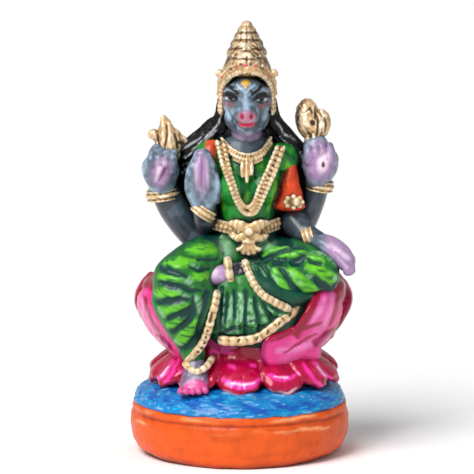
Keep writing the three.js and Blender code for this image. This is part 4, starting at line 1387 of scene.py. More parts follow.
def make_head(sizes):
    """The boar's head: a round skull, a brow that slopes to a short snout, full cheeks."""
    clay = Clay()
    clay.blob((MID, 6, HEAD_Z + 1), (12.2, 12.8, 12.8), sides=56, rings=44)
    clay.blob((MID, 2.5, HEAD_Z - 8), (10.6, 9.3, 8.3), sides=48, rings=36)
    clay.limb(
        [(MID, 1, HEAD_Z, 10.2, 9.7), (MID, -7, HEAD_Z - 4, 7.3, 7.3), (MID, -14, HEAD_Z - 7, 4.4, 4.6)],
        face=UP,
        ends=0.35,
        sides=56,
    )
    clay.blob((MID, -7.5, HEAD_Z - 11.5), (5.4, 5.8, 4.4))
    neck_line = [(MID, 6, 141, 7.2, 7.4), (MID, 6, 149, 7.4, 7.6), (MID, 5, 157, 7.4, 7.4)]
    clay.limb(neck_line)

    def relief(p):
        """Eyes, sockets, nostrils, mouth, brows and cheeks, in millimetres out of the skin."""
        front = smooth(6, 0, p[:, 1])
        eyes = most(dab(p, -4.8, 168.9, 2.2, 1.3, -6, 0.8), dab(p, 10.8, 168.4, 2.2, 1.3, 6, 0.8))
        sockets = most(dab(p, -4.4, 169.4, 4.0, 2.8, -10, 0.7), dab(p, 10.4, 169.4, 4.0, 2.8, 10, 0.7))
        nostrils = most(dab(p, 1.1, 161.8, 1.0, 1.4, 12, 0.7), dab(p, 5.6, 161.8, 1.0, 1.4, -12, 0.7))
        mouth = stroke(p, [(-1.2, 158.6, 0.3), (1.4, 157.6, 0.4), (5.0, 157.6, 0.4), (7.4, 158.6, 0.3)], 0.5)
        lip = stroke(p, [(-0.4, 157.2, 0.5), (3.2, 156.0, 0.9), (6.8, 157.2, 0.5)], 0.7)
        brows = most(
            stroke(p, [(-8.4, 173.2, 0.4), (-5.4, 174.8, 0.9), (-0.8, 171.2, 0.7)], 0.8),
            stroke(p, [(6.2, 171.2, 0.7), (10.8, 175.2, 0.9), (14, 173.4, 0.4)], 0.8),
        )
        cheeks = most(dab(p, -5.4, 161.5, 3.2, 3.2, 0, 0.9), dab(p, 12, 161.5, 3.2, 3.2, 0, 0.9))
        return front * (
            0.8 * eyes - 0.8 * sockets - 0.9 * nostrils - 0.5 * mouth + 0.6 * lip + 0.5 * brows + 0.3 * cheeks
        ) + 0.06 * ripple(p, 4, 91)

    skin = Skin(clay, sizes.fine_voxel * 0.9, 1)
    skin.push(relief(skin.places))
    p = skin.places
    front = smooth(7, 3, p[:, 1])
    whites = most(dab(p, -5.6, 168.7, 1.3, 0.8, -6, 0.4), dab(p, 11.7, 168.3, 1.4, 0.8, 6, 0.4))
    inner_whites = most(dab(p, -3.0, 169.2, 0.45, 0.5, 0, 0.5), dab(p, 9.0, 168.8, 0.45, 0.5, 0, 0.5))
    whites = most(whites * 0.7, inner_whites * 0.6)
    pupils = most(dab(p, -4.4, 169.0, 1.25, 1.2, 0, 0.3), dab(p, 10.4, 168.6, 1.25, 1.2, 0, 0.3))
    lids = most(
        stroke(p, [(-8.4, 169.2, 0.6), (-5.4, 170.8, 1.4), (-2.6, 170.2, 1.4), (-1.2, 168.8, 0.6)], 0.5),
        stroke(p, [(6.8, 169.0, 0.6), (8.8, 170.2, 1.4), (11.6, 170.4, 1.4), (14.2, 168.8, 0.5)], 0.5),
        stroke(p, [(-6.6, 167.6, 0.2), (-4.4, 167.4, 0.4), (-2.2, 168.4, 0.4)], 0.3),
        stroke(p, [(8.4, 168.0, 0.4), (10.6, 167.0, 0.4), (13, 167.2, 0.2)], 0.3),
    )
    brows = most(
        stroke(p, [(-9.0, 172.4, 0.4), (-6.4, 174.6, 0.9), (-3.4, 173.6, 1.1), (-0.4, 171.2, 0.6)], 0.4),
        stroke(p, [(5.8, 171.4, 0.6), (8.6, 172.8, 0.9), (11.0, 175.4, 1.1), (14.0, 173.6, 0.5)], 0.4),
        stroke(p, [(5.0, 173.0, 0.3), (6.6, 171.8, 0.5)], 0.3),
    )
    hairline = stroke(
        p, [(-5.6, 175.0, 0.5), (-1.6, 178.6, 1.0), (2.9, 179.6, 1.3), (8, 178.4, 1.0), (12, 175.2, 0.6)], 0.5
    )
    under = most(
        stroke(p, [(-8.0, 166.2, 0.5), (-5.4, 165.8, 0.9), (-3.0, 166.6, 0.5)], 0.6),
        stroke(p, [(8.6, 166.0, 0.5), (11.4, 165.4, 0.9), (13.6, 166.2, 0.5)], 0.6),
    )
    nose = dab(p, 3.3, 161.4, 3.9, 3.0, 0, 0.4) * smooth(-7, -11, p[:, 1])
    nostrils = most(dab(p, 1.1, 161.8, 0.95, 1.5, 12, 0.4), dab(p, 5.6, 161.8, 0.95, 1.5, -12, 0.4))
    mouth = stroke(p, [(-0.8, 158.6, 0.4), (1.0, 157.7, 0.9), (5.4, 157.7, 0.9), (7.2, 158.6, 0.4)], 0.35)
    creases = most(
        stroke(p, [(-2.6, 161.6, 0.3), (-3.4, 158.4, 0.4), (-1.6, 155.4, 0.3)], 0.5),
        stroke(p, [(9.4, 161.6, 0.3), (10.0, 158.4, 0.4), (8.4, 155.4, 0.3)], 0.5),
        stroke(p, [(-3.6, 152.4, 0.4), (3.4, 150.2, 0.7), (10.4, 152.4, 0.4)], 0.7),
    )
    vee = brushed(p, [[(-1.2, 175.4, 0.4), (2.9, 172.0, 0.7), (7.0, 175.4, 0.4)]], 0.5)
    # Painted highlights down the nose, on the cheeks and over the eyes.
    sheen = [
        [(2.9, 170.6, 0.8), (3.1, 165.4, 1.4)],
        [(-6.6, 163.4, 1.2), (-5.0, 159.4, 1.3)],
        [(12.8, 163.4, 1.1), (11.4, 159.4, 1.2)],
        [(-7.6, 171.6, 0.3), (-5.4, 172.6, 0.5), (-3, 171.8, 0.3)],
        [(8.0, 171.8, 0.3), (10.6, 173.0, 0.5), (13.2, 171.8, 0.3)],
    ]
    jaw = smooth(155, 151.6, p[:, 2])
    # Painted shade on the neck under the chin.
    neck = smooth(149.6, 147.6, p[:, 2])
    drop = most(dab(p, 2.9, 176.4, 2.1, 1.2, 0, 0.3), stroke(p, [(2.9, 176.4, 1.4), (2.9, 173.8, 0.4)], 0.4))
    skin.paint(
        light=most(brushed(p, sheen, 0.9) * 0.8, vee * 0.9, smooth(0.2, 1.1, ripple(p, 4, 92)) * 0.45)
        * front,
        # Painted shade in the creases, on the surfaces that turn away and under the chin, with random darker
        # patches.
        dark=most(
            creases * front * 0.75,
            smooth(-0.2, 0.5, skin.normals[:, 1]),
            smooth(0.2, 1.1, ripple(p, 5, 93)) * 0.3,
            neck * 0.7,
        ),
        palm=jaw * (1 - neck) * 0.6 * front,
        nose=nose,
        red=mouth * front,
        pink=most(nostrils, under * 0.42) * front,
        white=whites * front,
        black=most(pupils, lids, brows, hairline) * front,
        yellow=drop * front,
    )
    coats = [
        ("light", "skin_light", 0.36, 0),
        ("dark", "skin_dark", 0.36, 0),
        ("palm", "palm", 0.4, 0),
        ("nose", "blush", 0.38, 0),
        ("white", "eye_white", 0.36, 0),
        ("red", "lips", 0.34, 0),
        ("pink", "magenta", 0.36, 0),
        ("black", "black", 0.34, 0),
        ("yellow", "mark", 0.36, 0.2),
    ]
    paint = finish("Face paint", "skin", coats, gloss=0.2, mottle=0.12, shine=0.35)
    skin.cast("head", "skin_grey", paint)


def make_hair(sizes):
    """Loose hair: a broad shallow mass down the back, and locks that fall on the shoulders."""
    clay = Clay()
    mass = [
        (MID, 13, 168, 9.6, 9),
        (3, 14.5, 158, 12, 8.6),
        (1.5, 14.5, 150, 20.2, 8.6),
        (0.5, 15, 139, 31.2, 8.8),
        (0.5, 15, 126, 32, 9),
        (0.5, 15, 113, 28.3, 9),
        (0, 15, 99, 25, 9),
        (0, 15, 85, 23.4, 9),
        (1, 15.5, 72, 18, 8),
    ]

    def locks(t, angle):
        return 0.6 * np.cos(8 * angle) * np.sin(math.pi * t)

    clay.limb(mass, folds=locks, sides=120, rings=90)
    side_locks = [
        [(-7, 9, 166, 3.4, 5), (-8.6, 8.5, 157, 4, 5), (-14, 9, 149, 5, 5), (-23.5, 10.5, 141, 5, 4.6)],
        [(14, 9, 166, 3.4, 5), (15.6, 8.5, 157, 4, 5), (21, 9, 149, 5, 5), (29, 11, 140, 5, 4.6)],
    ]
    for lock in side_locks:
        clay.limb(lock, folds=lambda t, angle: 0.3 * np.cos(6 * angle + 4 * t), sides=72)
    clay.blob((MID, 10, 150), (14, 7, 7))
    skin = Skin(clay, sizes.voxel * 1.12, 2)
    p = skin.places
    side = np.where(p[:, 0] > MID, 1, -1)
    slope = side * smooth(160, 150, p[:, 2]) * smooth(124, 138, p[:, 2])
    run = (p[:, 0] - MID) * 0.8 + slope * p[:, 2] * 0.75
    strands = np.cos(run * TURN / 2.6 + 0.5 * ripple(p, 22, 102))
    facing = smooth(0.2, -0.5, skin.normals[:, 1])
    skin.push(sizes.strand / MM * strands * facing * smooth(BACK_Y - 0.4, BACK_Y - 3, p[:, 1]))
    greys = [
        [(-8.2, 160.4, 0.2), (-10.4, 155.4, 0.3)],
        [(-9.4, 156.6, 0.25), (-14, 150.6, 0.45), (-19.6, 146.2, 0.3)],
        [(-10.6, 152.8, 0.25), (-16, 147.4, 0.4), (-22, 143.6, 0.3)],
        [(-17, 150.4, 0.3), (-23, 145.6, 0.4), (-28.4, 141.8, 0.25)],
        [(-20.4, 143.2, 0.3), (-26.2, 139.2, 0.45), (-29.6, 136.6, 0.3)],
        [(-21.6, 138.6, 0.25), (-26.4, 135.2, 0.4)],
        [(-24, 134.6, 0.3), (-27.4, 131.4, 0.35)],
        [(-7.8, 149.4, 0.25), (-12.6, 145.2, 0.3)],
        [(16.8, 157, 0.25), (21, 151.4, 0.3), (26.4, 146.8, 0.25)],
        [(19, 149.6, 0.2), (24.4, 144.6, 0.3)],
        [(28.6, 142.4, 0.2), (30.4, 136, 0.3)],
    ]
    thin = brushed(p, greys, 0.25, 1.05) * smooth(-1.2, 0.3, ripple(p, 2.6, 103))
    rear = smooth(0.2, 0.6, skin.normals[:, 1])
    fall = np.cos(p[:, 0] * TURN / 2.8 + 0.9 * ripple(p, 18, 104, (1, 1, 0.5)))
    grey = smooth(0.75, 1.0, fall) * smooth(0.2, 0.9, ripple(p, 9, 105, (1.5, 1, 0.3))) * rear
    skin.paint(light=most(thin * (1 - rear), grey * 0.45))
    coats = [("light", "hair_light", 0.4, 0)]
    paint = finish("Black hair paint", "hair", coats, rough=0.4, mottle=0.2, gloss=0.06, shine=0.2)
    skin.cast("hair", "hair_black", paint)


BEAD_SINK = 0.6  # share of a bead's height that lies below the line of its row


def beaded(count, deep):
    """A row of beads along a band: how far out its surface stands, by the share of the way along it."""
    return lambda t, angle: deep * (np.abs(np.sin(math.pi * count * t)) - BEAD_SINK)


def hollows_between(count, t):
    """1 in the hollows between the beads of a row and 0 on the beads, by the share of the way along."""
    return smooth(0.45, 0.1, np.abs(np.sin(math.pi * count * t)))


def gild(skin, name, hollow, slot="gold", **masks):
    """Gold paint with brown in the hollows, and with the masks' own colours over it."""
    p = skin.places
    worn = smooth(0.3, 1.1, ripple(p, 3.2, 111)) * 0.5
    none = np.zeros(len(p))
    skin.paint(**{"hollow": np.maximum(worn * 0.7, hollow), "spot": none, "green": none, **masks})
    coats = [
        ("hollow", "gold_shade", 0.45, 0.3),
        ("spot", "lips", 0.4, 0.2),
        ("green", "cloth_dark", 0.4, 0.2),
    ]
    if "back" in masks:
        coats.append(("back", "back_blue", 0.3, 0))
    # Cream is the painted highlight on the crests, brown the painted shade in the crevices and where other
    # clay stands near.
    paint = finish(
        f"Gold paint of {name}",
        "gold",
        coats,
        painted_shade="gold_shade",
        crest="gold_light",
        rough=0.38,
        metal=0.28,
        mottle=0.14,
        relief=0.3,
        gloss=0.1,
        shade_strength=0.97,
    )
    skin.cast(name, slot, paint)


CLASP_X = 4.4
PENDANT_X = 4.2
RUNGS = 17  # spaces along the garland between its two strings, filled by beads in a zigzag
ROSETTE_X, ROSETTE_Z = 25.4, 120
ROSETTE_BEADS = 8
# Each cuff is its middle, half width, half depth and lean in degrees
CUFFS = [
    ((-36.4, 10.6, 121.4), 8.2, 9.8, -8),
    ((38.0, 10.6, 125.6), 6.8, 9.2, 8),
    ((-17, -4.6, 115.3), 6.4, 6.0, 35),
    ((32.6, -4.0, 102.4), 5.4, 5.6, 72),
]
# Each band of a cuff is its lift, share of the cuff's width and half height
CUFF_BANDS = [(-2.2, 0.99, 0.9), (-0.1, 1.04, 2.3), (2.1, 0.98, 0.9)]


def make_jewellery(sizes):
    """Garland, neck ring, belt with its clasp, pendants, cuffs and armlet."""
    # Each form carries its share of brown painted shade.
    clay = Clay("hollow")

    def ring_of_beads(points, wide, deep, count, bead):
        """A row of beads along a line; bead is how far the beads stand out."""
        stations = [(*point, wide, deep) for point in points]

        # Painted shade in the hollows between the beads.
        def valley_shade(t, angle, places):
            return hollows_between(count, t) * smooth(-0.2, 0.4, np.sin(angle))

        clay.limb(stations, folds=beaded(count, bead), sides=24, rings=max(60, count * 8), hollow=valley_shade)

    outer = [
        (-10.6, -2, 148), (-8.2, -9.8, 139), (-5.2, -11.8, 131), (-1.4, -12.2, 121), (1.6, -10.8, 116),
        (5, -10.4, 114.8), (8.2, -10.8, 116.8), (12, -12.2, 125), (16.4, -11.2, 135), (20.6, -3, 145.4),
    ]
    inner = [
        (-7.6, -2, 147), (-5.2, -9.6, 137.6), (-2.4, -11.6, 128.6), (0.4, -11.6, 121), (3.6, -10.8, 118.2),
        (6.6, -11.4, 120.6), (9.6, -12.2, 128.4), (13.6, -11.2, 137), (17.8, -4, 146),
    ]
    ring_of_beads(outer, 1.15, 1.2, 44, 0.3)
    ring_of_beads(inner, 1.05, 1.2, 38, 0.3)
    for rung in range(1, RUNGS):
        t = rung / RUNGS
        for lean, share in ((30, t * 0.44), (-30, 1 - t * 0.46)):
            first, second = spline(outer, [share])[0], spline(inner, [share])[0]
            middle = (first + second) / 2 + np.array([0, -0.25, 0])
            clay.blob(middle, (0.85, 1.1, 0.85), lean=lean, sides=14, rings=10, hollow=0.05)
    shares = np.linspace(0, 1, 9)
    backing = (spline(outer, shares) + spline(inner, shares)) / 2 + np.array([0, 0.5, 0])
    # The backing between the strings is painted in shade.
    clay.limb([(*point, 1.6, 0.7) for point in backing], sides=16, rings=60, hollow=0.8)
    neck = [(-8.6, 0.6, 146.8), (-3, -5.4, 142.2), (4, -7.6, 140.2), (10.4, -5.4, 142.2), (14.8, 0.6, 147.2)]
    ring_of_beads(neck, 1.1, 1.2, 20, 0.3)
    ring_of_beads([(x, y + 1.2, z + 2.3) for x, y, z in neck], 0.8, 1.0, 24, 0.2)
    ring_of_beads([(x, y - 0.4, z - 2.0) for x, y, z in neck[1:4]], 0.8, 1.0, 14, 0.25)
    belt = [(-13, 0, 109), (-5, -7, 107.8), (4, -9.4, 107.4), (12, -7, 107.8), (18.6, 0, 109)]
    ring_of_beads(belt, 1.5, 1.5, 16, 0.4)
    ring_of_beads([(x, y, z + 2.1) for x, y, z in belt], 0.8, 1.0, 24, 0.2)
    ring_of_beads([(x, y - 0.2, z - 2.2) for x, y, z in belt], 0.9, 1.1, 18, 0.4)
    for x, low in ((1.2, 133.0), (3.4, 130.4), (5.6, 134.0)):
        drop = [(x, -10.8, low, 0.8, 1.2), (x, -10.6, low + 3, 1.05, 1.3), (x, -8.8, 139, 0.8, 1.2)]
        clay.limb(drop, hollow=0)
    for side in (-1, 1):
        wing = [(CLASP_X, -10.2, 107, 3.0, 1.6), (CLASP_X + 5 * side, -10, 109.6, 2.6, 1.5),
                (CLASP_X + 9 * side, -7.8, 110, 1.5, 1.3)]
        tail = [(CLASP_X, -10.8, 105.6, 2.4, 1.6), (CLASP_X + 4.6 * side, -10.4, 103.4, 2.0, 1.5),
                (CLASP_X + 8.2 * side, -8.6, 104.2, 1.3, 1.3)]
        for scroll in (wing, tail):
            clay.limb(scroll, folds=beaded(4, 0.3), hollow=0)
        clay.blob((CLASP_X + 4.6 * side, -10.6, 106.6), (1.2, 1.0, 0.8), sides=16, rings=12, hollow=0.9)
    clay.blob((CLASP_X, -11.8, 106.6), (2.3, 1.8, 2.3), hollow=0)
    clay.blob((PENDANT_X, -10.4, 98.0), (5.6, 1.6, 3.6), hollow=0.75)
    for fan_out in range(-2, 3):
        top = (PENDANT_X + 0.9 * fan_out, -11.4, 101.2, 0.9, 1.0)
        low = (PENDANT_X + 2.5 * fan_out, -11.9, 96.2 + 0.5 * fan_out**2, 1.25, 1.2)
        clay.limb([top, ((top[0] + low[0]) / 2, -12, 99, 0.9, 1.1), low], rings=24, hollow=0)
    clay.blob((PENDANT_X, -11.8, 101.8), (3.2, 1.5, 1.5), hollow=0)
    for (x, y, z), wide, deep, lean in CUFFS:
        turn = math.radians(lean)
        for lift, size, tall in CUFF_BANDS:
            middle = (x + lift * math.sin(turn), y, z + lift * math.cos(turn))
            clay.blob(middle, (wide * size, deep * size, tall), lean=lean, sides=40, hollow=0)
    clay.blob((ROSETTE_X, -5.2, ROSETTE_Z), (4.8, 2.0, 3.0), hollow=0.8)
    for bead in range(ROSETTE_BEADS):
        turn = TURN * bead / ROSETTE_BEADS
        at = (ROSETTE_X + 4 * math.cos(turn), -6.2, ROSETTE_Z + 2.6 * math.sin(turn))
        clay.blob(at, (1.2, 1.3, 1.1), hollow=0.1, sides=16, rings=12)
    clay.blob((26.8, -7.2, 120.2), (1.9, 1.7, 2.1), hollow=0)
    skin = Skin(clay, sizes.fine_voxel, 1)
    gild(skin, "jewellery", skin.masks["hollow"])


FAN_HEM = [
    (-8.9, -28.5, 57.9), (-2.8, -29, 57.4), (3.9, -29, 57.9), (9.5, -28.6, 59.4), (14.3, -28, 62.7),
    (19.9, -26.5, 67), (24.7, -24.5, 70.3), (28, -21, 75.4),
]
LEFT_HEM = [
    (2.4, -18.5, 93.4), (4.3, -22.4, 88.6), (7.2, -26, 83.4), (11.4, -28, 78.9), (17.1, -28.6, 75.7),
    (22.8, -27.5, 72.7),
]
RIGHT_HEM = [
    (-10.7, -28.5, 80.4), (-11.7, -30.8, 75), (-13.4, -31.8, 68.4), (-15.3, -31, 61.5), (-18.4, -29.8, 55.1),
    (-24.1, -26.5, 47.9),
]
RIGHT_ANKLET = [(-25.6, -26, 46.2), (-20.8, -32, 43.4), (-16, -31, 45.4), (-12.8, -26, 48.8)]
LEFT_ANKLET = [(-5.8, -20.5, 95), (-5, -24, 88.6), (-3.6, -21.8, 82.4)]
# Each hem is its line, half width and number of flutes
HEMS = [
    (FAN_HEM, 2.3, 11),
    (LEFT_HEM, 1.9, 12),
    (RIGHT_HEM, 2.0, 10),
    (RIGHT_ANKLET, 1.7, 6),
    (LEFT_ANKLET, 2.1, 3),
]


def make_hems(sizes):
    """Gold hems of the skirt, with a fluted frill, and the anklets."""
    clay = Clay("hollow")
    for points, wide, count in HEMS:
        stations = [(*point, wide, 1.5) for point in points]

        # Painted shade in the hollows between the flutes.
        def valley_shade(t, angle, places, count=count):
            return hollows_between(count, t) * bump(np.cos(angle), 0.2, 0.9) * 0.9

        clay.limb(stations, folds=beaded(count, 0.26), sides=28, rings=max(50, count * 8), hollow=valley_shade)
    skin = Skin(clay, sizes.fine_voxel, 1)
    p = skin.places
    dots = ((-15, 63), (-15.8, 59.8), (-16.4, 57), (-17.6, 54.4), (-19.4, 52.4))
    dashes = ((-0.4, 58), (8.2, 59), (13.2, 61.8), (18.6, 65.8), (23.6, 69.8))
    marks = most(
        stroke(p, [(-13.0, 71.4, 0.7), (-13.8, 67.6, 0.9)], 0.4),
        *(dab(p, x, z, 0.7, 0.8) for x, z in dots),
        *(dab(p, x, z, 0.5, 1.2, -25) for x, z in dashes),
    )
    skin.push(-0.35 * marks)
    ochre = dab(p, -5.6, 91.4, 1.6, 2.8) * 0.5 + dab(p, 3.0, 91, 1.4, 2.6) * 0.5
    gild(skin, "hems", most(skin.masks["hollow"], marks * 0.9, ochre))


CAP_Y = 15.0
SPIRE_Y = 18.0
TIER_SEAMS = (187.6, 191.2, 194.9, 198.2, 200.8)  # heights of the grooves between the spire's tiers
SEAM_ARCH = 0.02  # how far a groove drops at the sides, per square of the way from the middle


def make_crown(sizes):
    """A cap over a flat back, a band from temple to temple, side knobs and a stepped spire."""
    clay = Clay("hollow")
    cap = [
        (165.5, 12, 4, 8.4), (171, 12.4, 9, 8.6), (177, 12.2, 14, 8.6), (180.4, 11.6, 17.4, 8.4),
        (183.4, 10.4, 17, 8.2), (186, 9.2, 14.8, 7.8), (187.2, 8.6, 13.2, 7.6), (188, 9.0, 12.8, 7.6),
    ]
    spire = [
        (186, 9, 15.6, 4.6), (187.6, 9.6, 15.4, 4.6), (189.4, 9.0, 13.6, 4.6), (190.8, 7.6, 11.4, 4.4),
        (191.6, 7.9, 11.6, 4.4), (193.2, 7.4, 10.6, 4.4), (194.6, 5.9, 8.6, 4.4), (195.3, 6.1, 8.6, 4.6),
        (196.7, 5.5, 7.6, 4.4), (197.9, 4.2, 5.8, 4.2), (198.5, 4.4, 5.8, 4.4), (199.6, 3.8, 4.8, 4),
        (200.5, 2.7, 3.4, 3.8), (201.1, 2.8, 3.3, 3.6), (202.3, 1.9, 2.1, 2.6), (HEIGHT, 0.8, 0.8, 1.1),
    ]
    clay.stack(cap, (MID, CAP_Y), hollow=0)
    clay.stack(spire, (MID, SPIRE_Y), sides=90, rings=120, hollow=0)
    temples = [
        (-8.8, 6.5, 167), (-7.4, 1.5, 174.8), (-3.6, -2.6, 179.6), (MID, -4.4, 181.8),
        (10.4, -2.6, 179.6), (14.2, 1.5, 174.8), (15.6, 6.5, 167),
    ]
    for lift, wide, count in ((0, 1.3, 24), (2.2, 0.9, 36), (4.1, 1.1, 22)):
        points = [(x, y + 0.35 * lift, z + lift, wide, 1.3) for x, y, z in temples]
        clay.limb(points, folds=beaded(count, 0.28), sides=24, rings=count * 6, hollow=0)
    clay.limb([(x, y + 1.6, z + 2.1, 2.4, 1.0) for x, y, z in temples], sides=24, rings=70, hollow=0.6)
    for side in (-1, 1):
        clay.limb(
            [(MID + 11.4 * side, 5, 177.6, 1.9, 2.4), (MID + 12.8 * side, 6.6, 179.6, 1.9, 2.6),
             (MID + 14.0 * side, 8, 178.8, 0.9, 1.4)],
            hollow=0,
        )
        clay.blob((MID + 12.2 * side, 6.6, 175), (2.0, 2.6, 2.4), hollow=0)
        clay.limb(
            [(MID + 11.8 * side, 5.6, 174, 1.9, 2), (MID + 11.8 * side, 4.8, 168, 1.7, 2),
             (MID + 12 * side, 4.8, 161.4, 1.9, 2)],
            folds=beaded(7, 0.35),
            hollow=0,
        )
    dome = [(-4.0, 183, 4.4, 1.6), (-3.0, 186.6, 5.0, 1.8), (0.4, 190.6, 3.0, 1.6), (3.4, 193, 1, 1)]
    clay.limb([(MID, *row) for row in dome], hollow=0)
    skin = Skin(clay, sizes.fine_voxel, 1)
    p = skin.places
    front = smooth(BACK_Y - 6, BACK_Y - 10, p[:, 1])
    seams = [
        [(-3.4, 184.6, 0.3), (-1.9, 188.4, 0.4), (MID, 191.6, 0.4), (8.7, 188.4, 0.4), (10.2, 184.6, 0.3)],
        [(-4.6, 187.6, 0.25), (-2.4, 190.6, 0.35), (0.4, 192.4, 0.3)],
        [(11.4, 187.6, 0.25), (9.2, 190.6, 0.35), (6.4, 192.4, 0.3)],
        [(MID, 184.4, 0.3), (MID, 188.6, 0.35)],
        [(MID, 192, 0.35), (MID, 201.6, 0.25)],
        [(-1.6, 192, 0.25), (0, 195, 0.3), (0.9, 197.6, 0.25)],
        [(8.4, 192, 0.25), (6.8, 195, 0.3), (5.9, 197.6, 0.25)],
        [(-7.4, 182.4, 0.3), (-5.2, 186.4, 0.4)],
        [(14.2, 182.4, 0.3), (12, 186.4, 0.4)],
    ]
    seam = brushed(p, seams, 0.45) * front
    arched = p[:, 2] + SEAM_ARCH * (p[:, 0] - MID) ** 2
    grooves = most(*(bump(arched, z, 0.9) for z in TIER_SEAMS))
    skin.push(0.1 * ripple(p, 3, 121) + 0.06 * ripple(p, 1.6, 125) - 0.45 * seam - 0.35 * grooves * front)
    behind = smooth(BACK_Y - 1.8, BACK_Y - 0.8, p[:, 1] + 0.3 * ripple(p, 8, 122))
    rings = most(*(bump(p[:, 2] + 0.3 * ripple(p, 9, 123), z, 1.0) for z in (168, 186, 188.6)))
    skin.push(-0.6 * rings * smooth(21, 22.5, p[:, 1]))
    arched = p[:, 2] + 0.3 * ripple(p, 6, 127) + SEAM_ARCH * (p[:, 0] - MID) ** 2
    # Painted shade under each tier of the spire.
    tier_shade = [bump(arched, z, 1.15) for z in TIER_SEAMS]
    # Painted shade toward both sides of the crown.
    reach = np.interp(p[:, 2], [178, 188, 194, 199, HEIGHT], [14, 9.6, 7.2, 4.4, 1.6])
    sides = smooth(0.5, 0.92, np.abs(p[:, 0] - MID + 0.6) / reach) * smooth(181, 185, p[:, 2])
    # Painted highlights: a glint on the front of each tier.
    glints = ((189.3, 2.6), (193, 2.2), (196.6, 1.6), (199.6, 1.1))
    lit = most(*(dab(p, MID - 1.6, z, wide, 0.9, 0, 0.7) for z, wide in glints))
    # Brown painted shade under the tiers, at the sides and in the cut seams, with random patches; the glints
    # clear it.
    hollow = most(
        most(*tier_shade) * front * 0.85,
        sides * (0.72 + 0.3 * ripple(p, 4, 126)),
        seam,
        smooth(0.4, 1.1, ripple(p, 2.8, 128, (1, 1, 0.7))) * 0.4 * front,
    )
    ahead = smooth(6, 2, p[:, 1])
    red_stones = [
        (2.9, 184.8, 2.4, 0.8), (7.4, 184.2, 0.8, 0.8), (-1.4, 183.8, 0.8, 0.8), (-8.4, 178.6, 0.8, 0.9),
        (15, 178.6, 0.8, 0.9), (-7.8, 172, 0.6, 0.8), (14.6, 172, 0.6, 0.8),
    ]
    green_stones = [
        (-4.2, 182.6, 0.9, 0.7, 20), (10.6, 182.6, 0.9, 0.7), (5.2, 185.2, 0.6, 0.6), (0.6, 185.2, 0.6, 0.6),
        (-6.8, 177.4, 0.6, 0.8), (13.4, 177.4, 0.6, 0.8),
    ]
    gild(
        skin,
        "crown",
        hollow * (1 - 0.8 * lit),
        slot="crown_gold",
        spot=most(*(dab(p, *stone) for stone in red_stones)) * ahead * 0.7,
        green=most(*(dab(p, *stone) for stone in green_stones)) * ahead * 0.85,
        crest=most(smooth(*HIGHLIGHT_CREST_HEIGHTS, -skin.depth()), lit * front),
        back=behind,
    )


